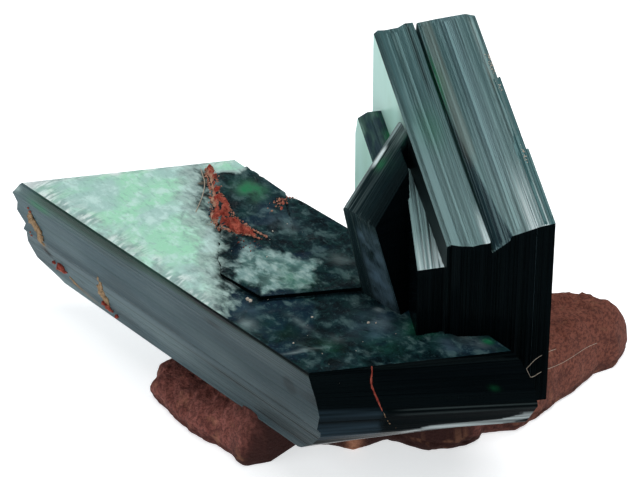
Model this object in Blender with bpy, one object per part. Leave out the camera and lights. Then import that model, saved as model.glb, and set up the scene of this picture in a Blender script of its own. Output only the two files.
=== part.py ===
"""Vivianite specimen: blades of one crystal group grown together on a loose piece of red-brown rock.

Each blade is a stack of thin layers, as the mineral grows: an outline with flat sides, whose sides step
in and out from layer to layer. Where blades overlap they are joined into one solid. All sizes below are
in millimetres, and positions are measured from the near top corner of the large blade (x right, y away,
z up) until place() moves them into the part's frame, which has its origin under the middle at z = 0.
"""

import math
import random

import bmesh
import bpy
from mathutils import Vector, noise

MM = 0.001
GAP = 0.3                                   # clearance between neighbouring pieces
LIP = 0.025                                 # half the height of the slope between two layers
NEAR_CORNER = Vector((-0.7, -20.1, 16.5))   # the large blade's near top corner in the part's frame

# Large blade: outline corners along its long edge (first number) and across it (second number)
BLADE_TURN = math.radians(-51.53)           # long edge, about the vertical
BLADE_NORMAL = Vector((-0.10, -0.05, 0.994)).normalized()
BLADE_OUTLINE = [(-51.2, 0.0), (0.0, 0.0), (11.4, 15.8), (-37.3, 19.0)]
BLADE_THICK = 11.0
BLADE_BANDS = 22
# How far each side stands out at a depth under the top: (depth, at the side's start, at its end)
BLADE_SIDES = [
    [(0.0, 0.0, 0.0), (0.25, 0.12, 0.12), (2.6, 0.1, 0.1), (6.4, 0.35, 0.3), (6.9, 0.05, 0.0),
     (11.0, -0.1, -0.1)],
    [(0.0, 0.0, 0.0), (0.3, 0.1, 1.1), (1.5, 0.3, 2.05), (2.8, 0.6, 2.8), (4.6, 1.0, 2.9), (7.5, 0.4, 1.5),
     (9.4, -1.0, -1.4), (10.8, -2.7, -3.7), (11.0, -3.2, -4.1)],
    [(0.0, 0.0, 0.0), (1.2, 0.0, 0.4), (4.5, 0.1, 0.9), (8.0, -0.1, 0.5), (11.0, -1.6, -0.8)],
    [(0.0, 0.0, 0.0), (2.3, 0.7, 1.95), (3.2, 0.4, 1.3), (4.3, 0.5, 1.5), (5.45, 0.1, 0.25), (6.7, 0.2, 0.85),
     (8.3, 0.0, 1.05), (9.9, -0.6, 0.0), (10.8, -2.0, -3.9), (11.0, -2.4, -4.4)],
]
# Raised sheet on the large blade's top, bounded by a ragged crack on its left
SHEET_OUTLINE = [(-19.7, 4.1), (-13.3, 4.4), (-2.4, 18.2), (-25.6, 18.2), (-26.5, 17.4), (-27.2, 18.3),
                 (-34.5, 18.7), (-36.4, 15.6), (-34.6, 14.2), (-31.6, 12.6), (-29.2, 10.6), (-26.2, 8.9),
                 (-23.2, 6.3)]
SHEET_RISE = 0.45
SHEET_SINK = 0.6

# Tall blade: outline in its own upright plane, from the near corner of its ribbed face
TALL_CORNER = Vector((13.16, 4.54, 11.35))
TALL_TURN = math.radians(-69.2)             # its plane's heading, about the vertical
TALL_OUTLINE = [(0.0, 0.0), (-19.2, 13.9), (-19.2, -23.2), (0.0, -17.6)]
TALL_THICK = 8.75
TALL_BANDS = 26
TALL_SIDES = [
    [(0.0, 0.0, 0.0), (0.35, 0.25, 0.45), (0.75, 0.4, 0.6), (0.8, 0.75, 0.6), (2.1, 1.2, 1.35),
     (2.7, 1.6, 1.95), (3.4, 1.95, 2.3), (3.55, 2.05, 1.2), (3.62, 1.45, 1.5), (3.72, 1.3, 2.4),
     (5.2, 2.85, 3.25), (5.3, 3.2, 3.3), (7.9, 4.6, 4.75), (8.75, 4.95, 4.9)],
    [(0.0, 0.0, 0.0), (8.75, -4.75, -4.75)],
    [(0.0, 0.0, 0.0), (8.75, 0.0, 0.4)],
    [(0.0, 0.0, 0.0), (0.75, 0.3, 0.3), (0.8, 0.8, 0.8), (5.0, 2.95, 2.95), (8.75, 4.3, 4.3)],
]
SKIN_STARTS = [(7.0, 0.2), (15.0, 0.42)]     # extra layers on its far side: (distance from the top, rise)
SKIN_SUNK = 1.2
SKIN_FOOT = -18.0

# Small blade beside it, low on the left, with its own ribbed face
SIDE_CORNER = Vector((10.42, 4.75, 8.6))
SIDE_TURN = math.radians(-82.4)
SIDE_OUTLINE = [(0.0, 0.0), (-8.6, 6.4), (-8.6, -10.0), (0.0, -10.0)]
SIDE_THICK = 4.2
SIDE_BANDS = 9
SIDE_SIDES = [
    [(0.0, 0.0, 0.0), (2.4, 0.25, 0.25), (4.2, 0.4, 0.4)],
    [(0.0, 0.0, 0.0), (4.2, 0.0, 0.0)],
    [(0.0, 0.0, 0.0), (4.2, 0.0, 0.0)],
    [(0.0, 0.0, 0.0), (4.2, 0.15, 0.15)],
]

# Leaning blade: its outline stands in an upright plane, seen here from behind its left edge
LEAN_CORNER = Vector((3.21, 12.28, 11.27))
LEAN_TURN = math.radians(218.5)
LEAN_OUTLINE = [(0.0, 0.0), (-7.6, 7.55), (-9.0, 7.6), (-11.0, 3.5), (-10.5, -11.8), (-2.85, -11.8)]
LEAN_THICK = 5.1
LEAN_FLARE = -0.11                          # thickness gained for each unit of height
LEAN_BANDS = 9
LEAN_SIDES = [
    [(0.0, -0.35, -0.3), (0.7, 0.35, 0.25), (3.0, 0.35, 0.35), (5.1, 0.0, 0.0)],
    [(0.0, -0.3, -0.3), (0.9, 0.0, 0.0), (5.1, 0.0, 0.0)],
    [(0.0, 0.0, 0.0), (5.1, 0.0, 0.0)],
    [(0.0, 0.0, 0.0), (5.1, 0.0, 0.0)],
    [(0.0, 0.0, 0.0), (5.1, 0.0, 0.0)],
    [(0.0, -0.1, -0.1), (0.5, 0.15, 0.1), (4.2, 0.1, 0.1), (5.1, 0.0, 0.0)],
]

# Rear blade, behind the leaning one and parallel to the tall one
REAR_CORNER = Vector((4.8, 20.0, 17.2))
REAR_OUTLINE = [(0.0, 0.0), (-0.6, -2.0), (-0.6, -18.0), (7.0, -18.0), (7.0, -5.1)]
REAR_THICK = 3.6
REAR_BANDS = 6
REAR_SIDES = [
    [(0.0, 0.0, 0.0), (3.6, -0.4, -0.4)],
    [(0.0, 0.0, 0.0), (3.6, -1.4, -1.4)],
    [(0.0, 0.0, 0.0), (3.6, 0.0, 0.0)],
    [(0.0, 0.0, 0.0), (3.6, 1.0, 1.0)],
    [(0.0, 0.0, 0.0), (0.9, 0.9, 0.7), (2.2, 1.1, 0.8), (3.6, 0.4, 0.2)],
]

# Rock: outline on the ground, clockwise from the left tip, and how its top rises
ROCK_GROUND = -16.5
ROCK_MIDDLE = Vector((6.0, 21.5))
ROCK_OUTLINE = [(-17.6, 20.4), (-17.0, 24.0), (-12.5, 27.8), (-6.0, 30.0), (3.0, 33.0), (12.0, 31.5),
                (20.0, 32.0), (27.0, 31.2), (31.5, 31.4), (34.9, 30.0), (33.4, 26.4), (31.2, 25.2),
                (28.6, 21.6), (25.4, 17.8), (22.2, 14.0), (18.3, 13.6), (16.6, 11.0), (12.6, 10.2),
                (8.2, 12.0), (4.4, 10.0), (1.6, 11.2), (-1.9, 11.3), (-4.0, 8.4), (-6.8, 7.5),
                (-10.2, 10.9), (-13.7, 14.8), (-16.0, 18.2)]
ROCK_SPOKES = 104
ROCK_RINGS = 11
ROCK_LOW, ROCK_HIGH = 2.8, 7.1              # top above the ground at the left lobe, and under the tall blade
ROCK_RISE = (-15.0, -2.0)                   # where along x it climbs from the one to the other
ROCK_HUMP = (27.0, 25.5, 5.5, 0.6)          # right lobe's hump: x, y, radius, extra height
ROCK_LUMPS = [(5.2, 0.8), (2.1, 0.45)]      # lump size and height
ROCK_RIDGES = (3.4, 0.9)                    # size and height of the sharp ridges
ROCK_EDGE = 1.5                             # height of the broken edge above the ground

# Red-brown crust on the large blade: points of its crooked path (along, across) with half widths
CRUST_PATH = [(-38.2, 14.7, 0.4), (-37.0, 14.7, 0.8), (-35.0, 14.2, 0.95), (-32.6, 13.0, 0.8),
              (-30.6, 11.9, 1.2), (-28.2, 11.0, 1.9), (-25.6, 10.8, 1.9), (-23.4, 11.1, 1.3),
              (-21.2, 11.3, 0.5)]
CRUST_HEIGHT = 1.55
FLECK_PATH = [(-26.2, 17.9, 0.35), (-25.9, 17.2, 0.6), (-25.3, 16.4, 0.6), (-24.9, 15.6, 0.35)]
FLECK_HEIGHT = 1.5


def clear_scene():
    for obj in list(bpy.data.objects):
        bpy.data.objects.remove(obj, do_unlink=True)


def material(name, colour, roughness, metallic=0.0):
    made = bpy.data.materials.new(name)
    made.use_nodes = True
    shader = made.node_tree.nodes["Principled BSDF"]
    shader.inputs["Base Color"].default_value = (*colour, 1.0)
    shader.inputs["Roughness"].default_value = roughness
    shader.inputs["Metallic"].default_value = metallic
    made.diffuse_color = (*colour, 1.0)
    return made


def place(point):
    """A position measured from the near corner, in metres in the part's frame."""
    return (point + NEAR_CORNER) * MM


def new_object(name, bm, made_of):
    bmesh.ops.recalc_face_normals(bm, faces=bm.faces)
    mesh = bpy.data.meshes.new(name)
    bm.to_mesh(mesh)
    bm.free()
    obj = bpy.data.objects.new(name, mesh)
    obj.data.materials.append(made_of)
    bpy.context.collection.objects.link(obj)
    return obj


def as_tool(obj):
    """Hides a shape that only joins or cuts another."""
    obj.hide_render = True
    obj.display_type = "WIRE"
    return obj


def combine(obj, tools, operation):
    for tool in tools:
        step = obj.modifiers.new(f"{operation.lower()}_{tool.name}", "BOOLEAN")
        step.operation = operation
        step.solver = "EXACT"
        step.object = tool


def flat_frame():
    """Large blade's frame: columns are its long edge, its width, its normal and its corner."""
    long_edge = Vector((math.cos(BLADE_TURN), math.sin(BLADE_TURN), 0.0))
    long_edge = (long_edge - BLADE_NORMAL * long_edge.dot(BLADE_NORMAL)).normalized()
    return long_edge, BLADE_NORMAL.cross(long_edge), BLADE_NORMAL, Vector((0.0, 0.0, 0.0))


def upright_frame(turn, corner):
    """Frame of a blade that stands: along its plane, up, its plane's outward normal and its corner."""
    along = Vector((math.cos(turn), math.sin(turn), 0.0))
    up = Vector((0.0, 0.0, 1.0))
    return along, up, along.cross(up), corner


def crossing(first, second):
    """Where two lines, each given by two points, cross in their plane."""
    (a, b), (c, d) = first, second
    run, other = b - a, d - c
    share = (c - a).cross(other) / run.cross(other)
    return a + run * share


def stand_out(side, depth):
    """A side's offsets at a depth, read between the rows of its profile."""
    for (low, *start), (high, *end) in zip(side, side[1:]):
        if depth <= high:
            share = (depth - low) / (high - low)
            return [a + (b - a) * share for a, b in zip(start, end)]
    return side[-1][1:]


def ring(outline, offsets):
    """The outline's corners once each side has moved out by its own offsets."""
    points = [Vector(corner) for corner in outline]
    lines = []
    for index, (start, end) in enumerate(offsets):
        a, b = points[index], points[(index + 1) % len(points)]
        run = (b - a).normalized()
        out = Vector((run.y, -run.x))
        lines.append((a + out * start, b + out * end))
    return [crossing(lines[index - 1], lines[index]) for index in range(len(lines))]


def bands(thick, count, sides, seed, step):
    """Layers from the first face to the last: (top depth, bottom depth, each side's ledge)."""
    drawn = random.Random(seed)
    weights = [drawn.uniform(0.35, 1.6) for _ in range(count)]
    depth, layers = 0.0, []
    for weight in weights:
        below = depth + thick * weight / sum(weights)
        layers.append((depth, below, [drawn.uniform(-step, step) for _ in range(sides)]))
        depth = below
    return layers


def layered(name, frame, outline, sides, thick, count, made_of, seed=1, step=0.1, flare=0.0, grow=0.0):
    """One blade: a closed stack of rings, two for each layer, so that each layer ends in a small ledge.

    flare adds thickness in proportion to the second outline number, and grow swells every face."""
    along, across, normal, corner = frame
    bm = bmesh.new()
    rings = []
    layers = bands(thick, count, len(outline), seed, step)
    for index, (top, bottom, ledges) in enumerate(layers):
        for depth in (top + (LIP if index else 0.0), bottom - (LIP if index < count - 1 else 0.0)):
            offsets = [[value + ledge + grow for value in stand_out(side, depth)]
                       for side, ledge in zip(sides, ledges)]
            swell = -grow if depth == 0.0 else grow if depth == bottom and index == count - 1 else 0.0
            rings.append([])
            for x, y in ring(outline, offsets):
                down = depth * (1.0 + flare * y / thick) + swell
                rings[-1].append(bm.verts.new(place(corner + along * x + across * y - normal * down)))
    size = len(outline)
    for upper, lower in zip(rings, rings[1:]):
        for i in range(size):
            bm.faces.new((upper[i], lower[i], lower[(i + 1) % size], upper[(i + 1) % size]))
    for cap in (rings[0], rings[-1]):
        bmesh.ops.triangulate(bm, faces=[bm.faces.new(cap)])
    return new_object(name, bm, made_of)


def large_blade(name, made_of, grow=0.0):
    return layered(name, flat_frame(), BLADE_OUTLINE, BLADE_SIDES, BLADE_THICK, BLADE_BANDS, made_of,
                   seed=7, step=0.11, grow=grow)


def tall_blade(name, made_of, grow=0.0):
    frame = upright_frame(TALL_TURN, TALL_CORNER)
    return layered(name, frame, TALL_OUTLINE, TALL_SIDES, TALL_THICK, TALL_BANDS, made_of,
                   seed=3, step=0.07, grow=grow)


def raised_sheet(name, made_of, grow=0.0):
    """Thin flat sheet, sunk a little into the large blade's top."""
    along, across, normal, corner = flat_frame()
    thick = SHEET_RISE + SHEET_SINK
    sides = [[(0.0, 0.0, 0.0), (thick, 0.08, 0.08)]] * len(SHEET_OUTLINE)
    frame = along, across, normal, corner + normal * SHEET_RISE
    return layered(name, frame, SHEET_OUTLINE, sides, thick, 1, made_of, step=0.0, grow=grow)


def skin_layer(name, made_of, start, rise):
    """A further layer on the tall blade's far side that begins lower down its ribbed face."""
    along, up, normal, corner = upright_frame(TALL_TURN, TALL_CORNER)
    slope = Vector(TALL_OUTLINE[1])
    top = slope.normalized() * (slope.length - start)
    outline = [(0.0, 0.0), tuple(top), (top.x, SKIN_FOOT), (0.0, SKIN_FOOT)]
    base, thick = TALL_THICK - SKIN_SUNK, SKIN_SUNK + rise
    ribbed, front = TALL_SIDES[0], TALL_SIDES[3]
    sides = [[(0.0, *stand_out(ribbed, base)), (SKIN_SUNK, 4.95, 4.95), (thick, 5.1, 5.1)],
             [(0.0, -4.5, -4.5), (thick, -4.9, -4.9)],
             [(0.0, -1.0, -1.0), (thick, -1.2, -1.2)],
             [(0.0, *stand_out(front, base)), (SKIN_SUNK, 4.3, 4.3), (thick, 4.42, 4.42)]]
    frame = along, up, normal, corner - normal * base
    return layered(name, frame, outline, sides, thick, 2, made_of, seed=5, step=0.03)


def crystal_group(made_of):
    """All the blades, joined where they grow through each other."""
    group = large_blade("crystal_cluster", made_of)
    parts = [
        raised_sheet("sheet", made_of),
        tall_blade("tall_blade", made_of),
        layered("side_blade", upright_frame(SIDE_TURN, SIDE_CORNER), SIDE_OUTLINE, SIDE_SIDES, SIDE_THICK,
                SIDE_BANDS, made_of, seed=11, step=0.07),
        layered("leaning_blade", upright_frame(LEAN_TURN, LEAN_CORNER), LEAN_OUTLINE, LEAN_SIDES, LEAN_THICK,
                LEAN_BANDS, made_of, seed=13, step=0.07, flare=LEAN_FLARE),
        layered("rear_blade", upright_frame(TALL_TURN, REAR_CORNER), REAR_OUTLINE, REAR_SIDES, REAR_THICK,
                REAR_BANDS, made_of, seed=17, step=0.06),
    ]
    parts += [skin_layer(f"skin_{index}", made_of, *start) for index, start in enumerate(SKIN_STARTS)]
    combine(group, [as_tool(part) for part in parts], "UNION")
    return group


def smooth(share):
    share = min(max(share, 0.0), 1.0)
    return share * share * (3.0 - 2.0 * share)


def rock_reach(angle):
    """Distance from the rock's middle to its outline along an angle."""
    ray = Vector((math.cos(angle), math.sin(angle)))
    count = len(ROCK_OUTLINE)
    for index in range(count):
        a = Vector(ROCK_OUTLINE[index]) - ROCK_MIDDLE
        b = Vector(ROCK_OUTLINE[(index + 1) % count]) - ROCK_MIDDLE
        run = b - a
        if abs(ray.cross(run)) < 1e-9:
            continue
        reach, share = a.cross(run) / ray.cross(run), a.cross(ray) / ray.cross(run)
        if reach > 0.0 and 0.0 <= share <= 1.0:
            return reach
    return 10.0


def rock_top(x, y):
    """Height of the rock's top above the ground, away from its broken edge."""
    low, high = ROCK_RISE
    height = ROCK_LOW + (ROCK_HIGH - ROCK_LOW) * smooth((x - low) / (high - low))
    hump_x, hump_y, radius, extra = ROCK_HUMP
    height += extra * math.exp(-((x - hump_x) ** 2 + (y - hump_y) ** 2) / radius ** 2)
    for size, lump in ROCK_LUMPS:
        height += lump * noise.noise(Vector((x / size, y / size, 3.7)))
    size, ridge = ROCK_RIDGES
    return height + ridge * (0.25 - abs(noise.noise(Vector((x / size, y / size, 8.1)))))


def rock(made_of):
    """Broken piece of rock: rings of points out to a ragged edge, flat underneath."""
    bm = bmesh.new()
    spokes = [math.tau * index / ROCK_SPOKES for index in range(ROCK_SPOKES)]
    ragged = [rock_reach(angle) * (1.0 + 0.025 * noise.noise(Vector((index * 0.9, 0.4, 1.3))))
              for index, angle in enumerate(spokes)]

    def loop(share, height):
        made = []
        for angle, reach in zip(spokes, ragged):
            x = ROCK_MIDDLE.x + math.cos(angle) * reach * share
            y = ROCK_MIDDLE.y + math.sin(angle) * reach * share
            made.append(bm.verts.new(place(Vector((x, y, ROCK_GROUND + height(x, y))))))
        return made

    def edge_height(share):
        fall = math.sqrt(max(0.0, 1.0 - ((share - 0.8) / 0.2) ** 2)) if share > 0.8 else 1.0
        return lambda x, y: ROCK_EDGE + (rock_top(x, y) - ROCK_EDGE) * fall

    inner = [0.12 + 0.68 * index / (ROCK_RINGS - 1) for index in range(ROCK_RINGS)]
    shares = inner + [0.88, 0.94, 0.98, 1.0]
    loops = [loop(share, edge_height(share)) for share in shares]
    loops.append(loop(1.004, lambda x, y: ROCK_EDGE * 0.45))
    loops.append(loop(0.97, lambda x, y: 0.0))
    loops.append(loop(0.5, lambda x, y: 0.0))
    for upper, lower in zip(loops, loops[1:]):
        for i in range(ROCK_SPOKES):
            j = (i + 1) % ROCK_SPOKES
            bm.faces.new((upper[i], upper[j], lower[j], lower[i]))
    middle = ROCK_MIDDLE.to_3d() + Vector((0.0, 0.0, ROCK_GROUND))
    crown = middle + Vector((0.0, 0.0, rock_top(*ROCK_MIDDLE)))
    for centre, rim in ((crown, loops[0]), (middle, loops[-1])):
        hub = bm.verts.new(place(centre))
        for i in range(ROCK_SPOKES):
            bm.faces.new((hub, rim[i], rim[(i + 1) % ROCK_SPOKES]))
    bmesh.ops.triangulate(bm, faces=bm.faces)
    return new_object("matrix", bm, made_of)


def crust(name, path, height, made_of, seed):
    """Lumpy ridge along a crooked path on the large blade's top, sunk into it until it is cut clear."""
    along, across, normal, corner = flat_frame()
    bm = bmesh.new()
    steps, around = 5, 12
    points = []
    for (x0, y0, w0), (x1, y1, w1) in zip(path, path[1:]):
        for index in range(steps):
            share = index / steps
            points.append((x0 + (x1 - x0) * share, y0 + (y1 - y0) * share, w0 + (w1 - w0) * share))
    points.append(path[-1])
    rings = []
    for index, (x, y, width) in enumerate(points):
        ahead, behind = points[min(index + 1, len(points) - 1)], points[max(index - 1, 0)]
        run = Vector((ahead[0] - behind[0], ahead[1] - behind[1])).normalized()
        aside = Vector((-run.y, run.x))
        rings.append([])
        for turn in range(around):
            angle = math.tau * turn / around
            rough = 1.0 + 0.3 * noise.noise(Vector((index * 0.6, turn * 1.1, seed)))
            out = math.cos(angle) * width * rough
            rise = math.sin(angle) * height * rough * (0.75 + 0.25 * width)
            flat = Vector((x, y)) + aside * out
            rings[-1].append(bm.verts.new(place(corner + along * flat.x + across * flat.y + normal * rise)))
    for first, second in zip(rings, rings[1:]):
        for i in range(around):
            j = (i + 1) % around
            bm.faces.new((first[i], first[j], second[j], second[i]))
    bm.faces.new(rings[0])
    bm.faces.new(rings[-1])
    bmesh.ops.triangulate(bm, faces=bm.faces)
    return new_object(name, bm, made_of)


def main():
    clear_scene()
    crystal = material("crystal", (0.02, 0.09, 0.085), 0.12)
    red_rock = material("red_rock", (0.26, 0.075, 0.05), 0.9)
    oxide = material("oxide", (0.42, 0.07, 0.03), 0.95)
    crystal_group(crystal)
    blade_room = as_tool(large_blade("blade_room", crystal, grow=GAP))
    tall_room = as_tool(tall_blade("tall_room", crystal, grow=GAP))
    sheet_room = as_tool(raised_sheet("sheet_room", crystal, grow=GAP))
    combine(rock(red_rock), [blade_room, tall_room], "DIFFERENCE")
    for name, path, height, seed in (("oxide_crust", CRUST_PATH, CRUST_HEIGHT, 2.0),
                                     ("oxide_fleck", FLECK_PATH, FLECK_HEIGHT, 5.0)):
        combine(crust(name, path, height, oxide, seed), [blade_room, sheet_room], "DIFFERENCE")


main()
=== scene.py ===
"""Looks of the vivianite specimen: glassy dark blades on a loose piece of red-brown rock.

Every surface is worked out on a grid of two parameters. Sizes are in millimetres and positions are measured
from the near top corner of the large blade (x right, y away, z up), as in the part's own source. to_frame()
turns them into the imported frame.
"""

import math

import bpy
import numpy as np
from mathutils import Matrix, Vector


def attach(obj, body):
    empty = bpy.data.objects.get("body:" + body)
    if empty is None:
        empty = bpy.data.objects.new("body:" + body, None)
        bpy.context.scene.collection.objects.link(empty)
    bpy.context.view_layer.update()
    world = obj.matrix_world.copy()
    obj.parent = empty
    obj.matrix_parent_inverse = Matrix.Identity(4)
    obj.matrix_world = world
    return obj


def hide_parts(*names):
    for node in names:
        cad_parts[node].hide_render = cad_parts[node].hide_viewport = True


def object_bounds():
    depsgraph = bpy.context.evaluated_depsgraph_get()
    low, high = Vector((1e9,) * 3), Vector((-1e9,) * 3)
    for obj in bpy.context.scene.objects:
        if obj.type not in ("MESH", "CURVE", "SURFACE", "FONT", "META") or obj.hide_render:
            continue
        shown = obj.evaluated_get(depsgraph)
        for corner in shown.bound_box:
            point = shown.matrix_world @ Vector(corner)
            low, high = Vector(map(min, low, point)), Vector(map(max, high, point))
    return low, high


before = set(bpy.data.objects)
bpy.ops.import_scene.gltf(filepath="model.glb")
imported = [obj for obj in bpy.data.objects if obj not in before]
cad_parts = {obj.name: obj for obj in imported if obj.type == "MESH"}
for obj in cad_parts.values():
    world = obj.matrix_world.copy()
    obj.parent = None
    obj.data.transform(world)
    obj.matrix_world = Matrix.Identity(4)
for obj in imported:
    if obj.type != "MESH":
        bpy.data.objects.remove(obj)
cad_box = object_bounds()

NEAR_CORNER = np.array([-0.7, -20.1, 16.5])  # the large blade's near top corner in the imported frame
MM = 0.001

# Large blade: corners along its long edge and across it, and how far each side stands out at a depth
BLADE_TURN = math.radians(-51.53)
BLADE_NORMAL = np.array([-0.1, -0.05, 0.994])
BLADE_OUTLINE = [(-51.2, 0), (0, 0), (11.4, 15.8), (-37.3, 19)]
BLADE_THICK = 11
BLADE_SIDES = [
    [(0, 0, 0), (0.25, 0.12, 0.12), (2.6, 0.1, 0.1), (6.4, 0.35, 0.3), (6.9, 0.05, 0),
     (11, -0.1, -0.1)],
    [(0, 0, 0), (0.3, 0.1, 1.1), (1.5, 0.3, 2.05), (2.8, 0.6, 2.8), (4.6, 1, 2.9), (7.5, 0.4, 1.5),
     (9.4, -1, -1.4), (10.8, -2.7, -3.7), (11, -3.2, -4.1)],
    [(0, 0, 0), (1.2, 0, 0.4), (4.5, 0.1, 0.9), (8, -0.1, 0.5), (11, -1.6, -0.8)],
    [(0, 0, 0), (2.3, 0.7, 1.95), (3.2, 0.4, 1.3), (4.3, 0.5, 1.5), (5.45, 0.1, 0.25), (6.7, 0.2, 0.85),
     (8.3, 0, 1.05), (9.9, -0.6, 0), (10.8, -2, -3.9), (11, -2.4, -4.4)],
]
SHEET_OUTLINE = [(-19.7, 4.1), (-13.3, 4.4), (-2.4, 18.5), (-25.6, 18.5), (-26.5, 17.4), (-27.2, 18.3),
                 (-34.5, 18.7), (-36.4, 15.6), (-34.6, 14.2), (-31.6, 12.6), (-29.2, 10.6), (-26.2, 8.9),
                 (-23.2, 6.3)]
SHEET_RISE = 0.45

# Tall blade, the small one beside it, the leaning one and the rear one
TALL_TURN = math.radians(-69.2)
TALL_THICK = 8.75
TALL_SIDES = [
    [(0, 0, 0), (0.35, 0.25, 0.45), (0.75, 0.4, 0.6), (0.8, 0.75, 0.6), (2.1, 1.2, 1.35),
     (2.7, 1.6, 1.95), (3.4, 1.95, 2.3), (3.55, 2.05, 1.2), (3.62, 1.45, 1.5), (3.72, 1.3, 2.4),
     (5.2, 2.85, 3.25), (5.3, 3.2, 3.3), (7.9, 4.6, 4.75), (8.75, 4.95, 4.9)],
    [(0, 0, 0), (8.75, -4.75, -4.75)],
    [(0, 0, 0), (8.75, 0, 0.4)],
    [(0, 0, 0), (0.75, 0.3, 0.3), (0.8, 0.8, 0.8), (5, 2.95, 2.95), (8.75, 4.3, 4.3)],
]
TALL_FACE = 10.57                            # width of its ribbed face, measured along the face
SKIN_STARTS = [(7, 0.2), (15, 0.42)]
SKIN_SUNK = 1.2
SKIN_FOOT = -18

# Red-brown rock
ROCK_GROUND = -16.5
ROCK_MIDDLE = np.array([6, 21.5])
ROCK_OUTLINE = [(-17.6, 20.4), (-17, 24), (-12.5, 27.8), (-6, 30), (3, 33), (12, 31.5),
                (20, 32), (27, 31.2), (31.5, 31.4), (34.9, 30), (33.4, 26.4), (31.2, 25.2),
                (28.6, 21.6), (25.4, 17.8), (22.2, 14), (18.3, 13.6), (16.6, 11), (12.6, 10.2),
                (8.2, 12), (4.4, 10), (1.6, 11.2), (-1.9, 11.3), (-4, 8.4), (-6.8, 7.5),
                (-10.2, 10.9), (-13.7, 14.8), (-16, 18.2)]
ROCK_LOW, ROCK_HIGH = 2.8, 7.1
ROCK_RISE = (-15, -2)
ROCK_HUMP = (27, 25.5, 5.5, 0.6)
ROCK_EDGE = 1.5

CRUST_PATH = [(-37.8, 16, 0.4), (-36.6, 15.35, 0.5), (-35.2, 14.65, 0.55), (-33.4, 13.6, 0.55),
              (-31.4, 12.4, 0.7), (-29, 11.2, 1.05), (-26.9, 10.4, 1.2), (-25.1, 10.45, 1.05),
              (-23.6, 10.8, 0.6), (-22.4, 11.05, 0.5), (-21.3, 11.2, 0.35)]
FLECK_PATH = [(-26.6, 18, 0.3), (-26.2, 17.4, 0.55), (-25.6, 16.6, 0.5), (-25, 15.8, 0.45),
              (-24.9, 15.2, 0.3)]
HAIR_PATHS = [[(20.93, 0.7, 0.04), (21.98, 2.5, -0.01), (23.38, 5, -0.81), (24.59, 9, -3.01)],
              [(20.92, 0.6, 0.1), (21.2, 0.8, -0.64), (21.58, 1.5, -1.44), (22.88, 4, -2.37),
               (25.46, 9, -4.55), (28.33, 15, -6.72), (29.82, 18, -8.01)]]
# The fibre on the crust: places along, across and above the large blade's top
FIBRE_PATH = ([-38.3, -36.8, -34.7, -33, -31.6], [15.1, 14.3, 13.1, 11.55, 9.55], [0.2, 0.5, 0.8, 0.7, 0.12])
HAIR_RADIUS, FIBRE_RADIUS = 0.022, 0.055

# Bright pearly region of the large blade's top, past its edges where it ends at one; its further strip past
# the crust's head; and the silver patch
PEARL_OUTLINE = [(-54, -2), (-14.5, -2), (-14.9, 1.5), (-19.5, 3.7), (-22.2, 5.5), (-24.9, 8.7),
                 (-29.5, 9.6), (-34, 11.9), (-38.5, 15.4), (-42.5, 22)]
NOTCH_OUTLINE = [(-39.2, 14.8), (-36.6, 15.2), (-34, 17.2), (-35, 20), (-39.5, 20)]
SILVER_OUTLINE = [(-19.3, 4.7), (-13.4, 4.7), (-10.8, 10), (-13.7, 12), (-18.5, 10.2), (-22.8, 9.4)]


# Numbers that vary smoothly over the surfaces

def hashed(whole, seed):
    """A fixed random number from 0 to 1 for each point of a whole-number lattice."""
    mixed = whole[..., 0] * 73856093 ^ whole[..., 1] * 19349663 ^ whole[..., 2] * 83492791 ^ seed * 40503
    mixed &= 0xFFFFFFFF
    mixed = (mixed ^ mixed >> 15) * 2246822519 & 0xFFFFFFFF
    mixed = (mixed ^ mixed >> 13) * 3266489917 & 0xFFFFFFFF
    return ((mixed ^ mixed >> 16) & 0xFFFFFF) / 0xFFFFFF


def noise(points, size, seed=0):
    """Value noise from -1 to 1: lattice numbers blended by 3t^2 - 2t^3 between their points."""
    place = np.asarray(points, float) / size
    whole = np.floor(place).astype(np.int64)
    part = place - whole
    part = part * part * (3 - 2 * part)
    total = 0
    for corner in range(8):
        step = np.array([corner & 1, corner >> 1 & 1, corner >> 2 & 1])
        weight = np.prod(np.where(step, part, 1 - part), axis=-1)
        total = total + weight * hashed(whole + step, seed)
    return total * 2 - 1


def rough(points, size, octaves=4, seed=0, keep=0.5):
    """Sum of noise at sizes halved each time, each weaker than the last by keep."""
    return sum(noise(points, size / 2 ** k, seed + 17 * k) * keep ** k for k in range(octaves))


def ridged(points, size, octaves=3, seed=0):
    """Sharp crests: one minus the absolute noise, summed as in rough()."""
    return sum((1 - 2 * abs(noise(points, size / 2 ** k, seed + 31 * k))) * 0.5 ** k for k in range(octaves))


def flat3(x, y, z=0):
    return np.stack(np.broadcast_arrays(x, y, z), axis=-1)


def eased(x, start, end):
    """0 before start and 1 after end, smooth between them; start may be the larger."""
    share = np.clip((x - start) / (end - start), 0, 1)
    return share * share * (3 - 2 * share)


def band(x, low, high, soft):
    """1 between low and high, fading out over soft on either side."""
    return eased(x, low - soft, low + soft) * eased(x, high + soft, high - soft)


def spot(x, y, x0, y0, across_x, across_y):
    """A soft round patch: a bell curve with its own width each way."""
    return np.exp(-((x - x0) / across_x) ** 2 - ((y - y0) / across_y) ** 2)


def spots(x, y, rows):
    """Sum of soft patches; a row is strength, middle in x and y, width in x and y."""
    return sum(strength * spot(x, y, *place) for strength, *place in rows)


def bands(x, rows):
    """Sum of soft bands; a row is strength, low and high end, softness."""
    return sum(strength * band(x, *ends) for strength, *ends in rows)


def streaks(x, y, long, close, z, seed):
    """Noise from 0 to 1, drawn out along x."""
    return 0.5 + 0.5 * noise(flat3(x / long, y * close, z), 1, seed)


def clipped(masks):
    return {key: np.clip(numbers, 0, 1) for key, numbers in masks.items()}


def unit(vectors):
    return vectors / np.linalg.norm(vectors, axis=-1, keepdims=True)


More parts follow.
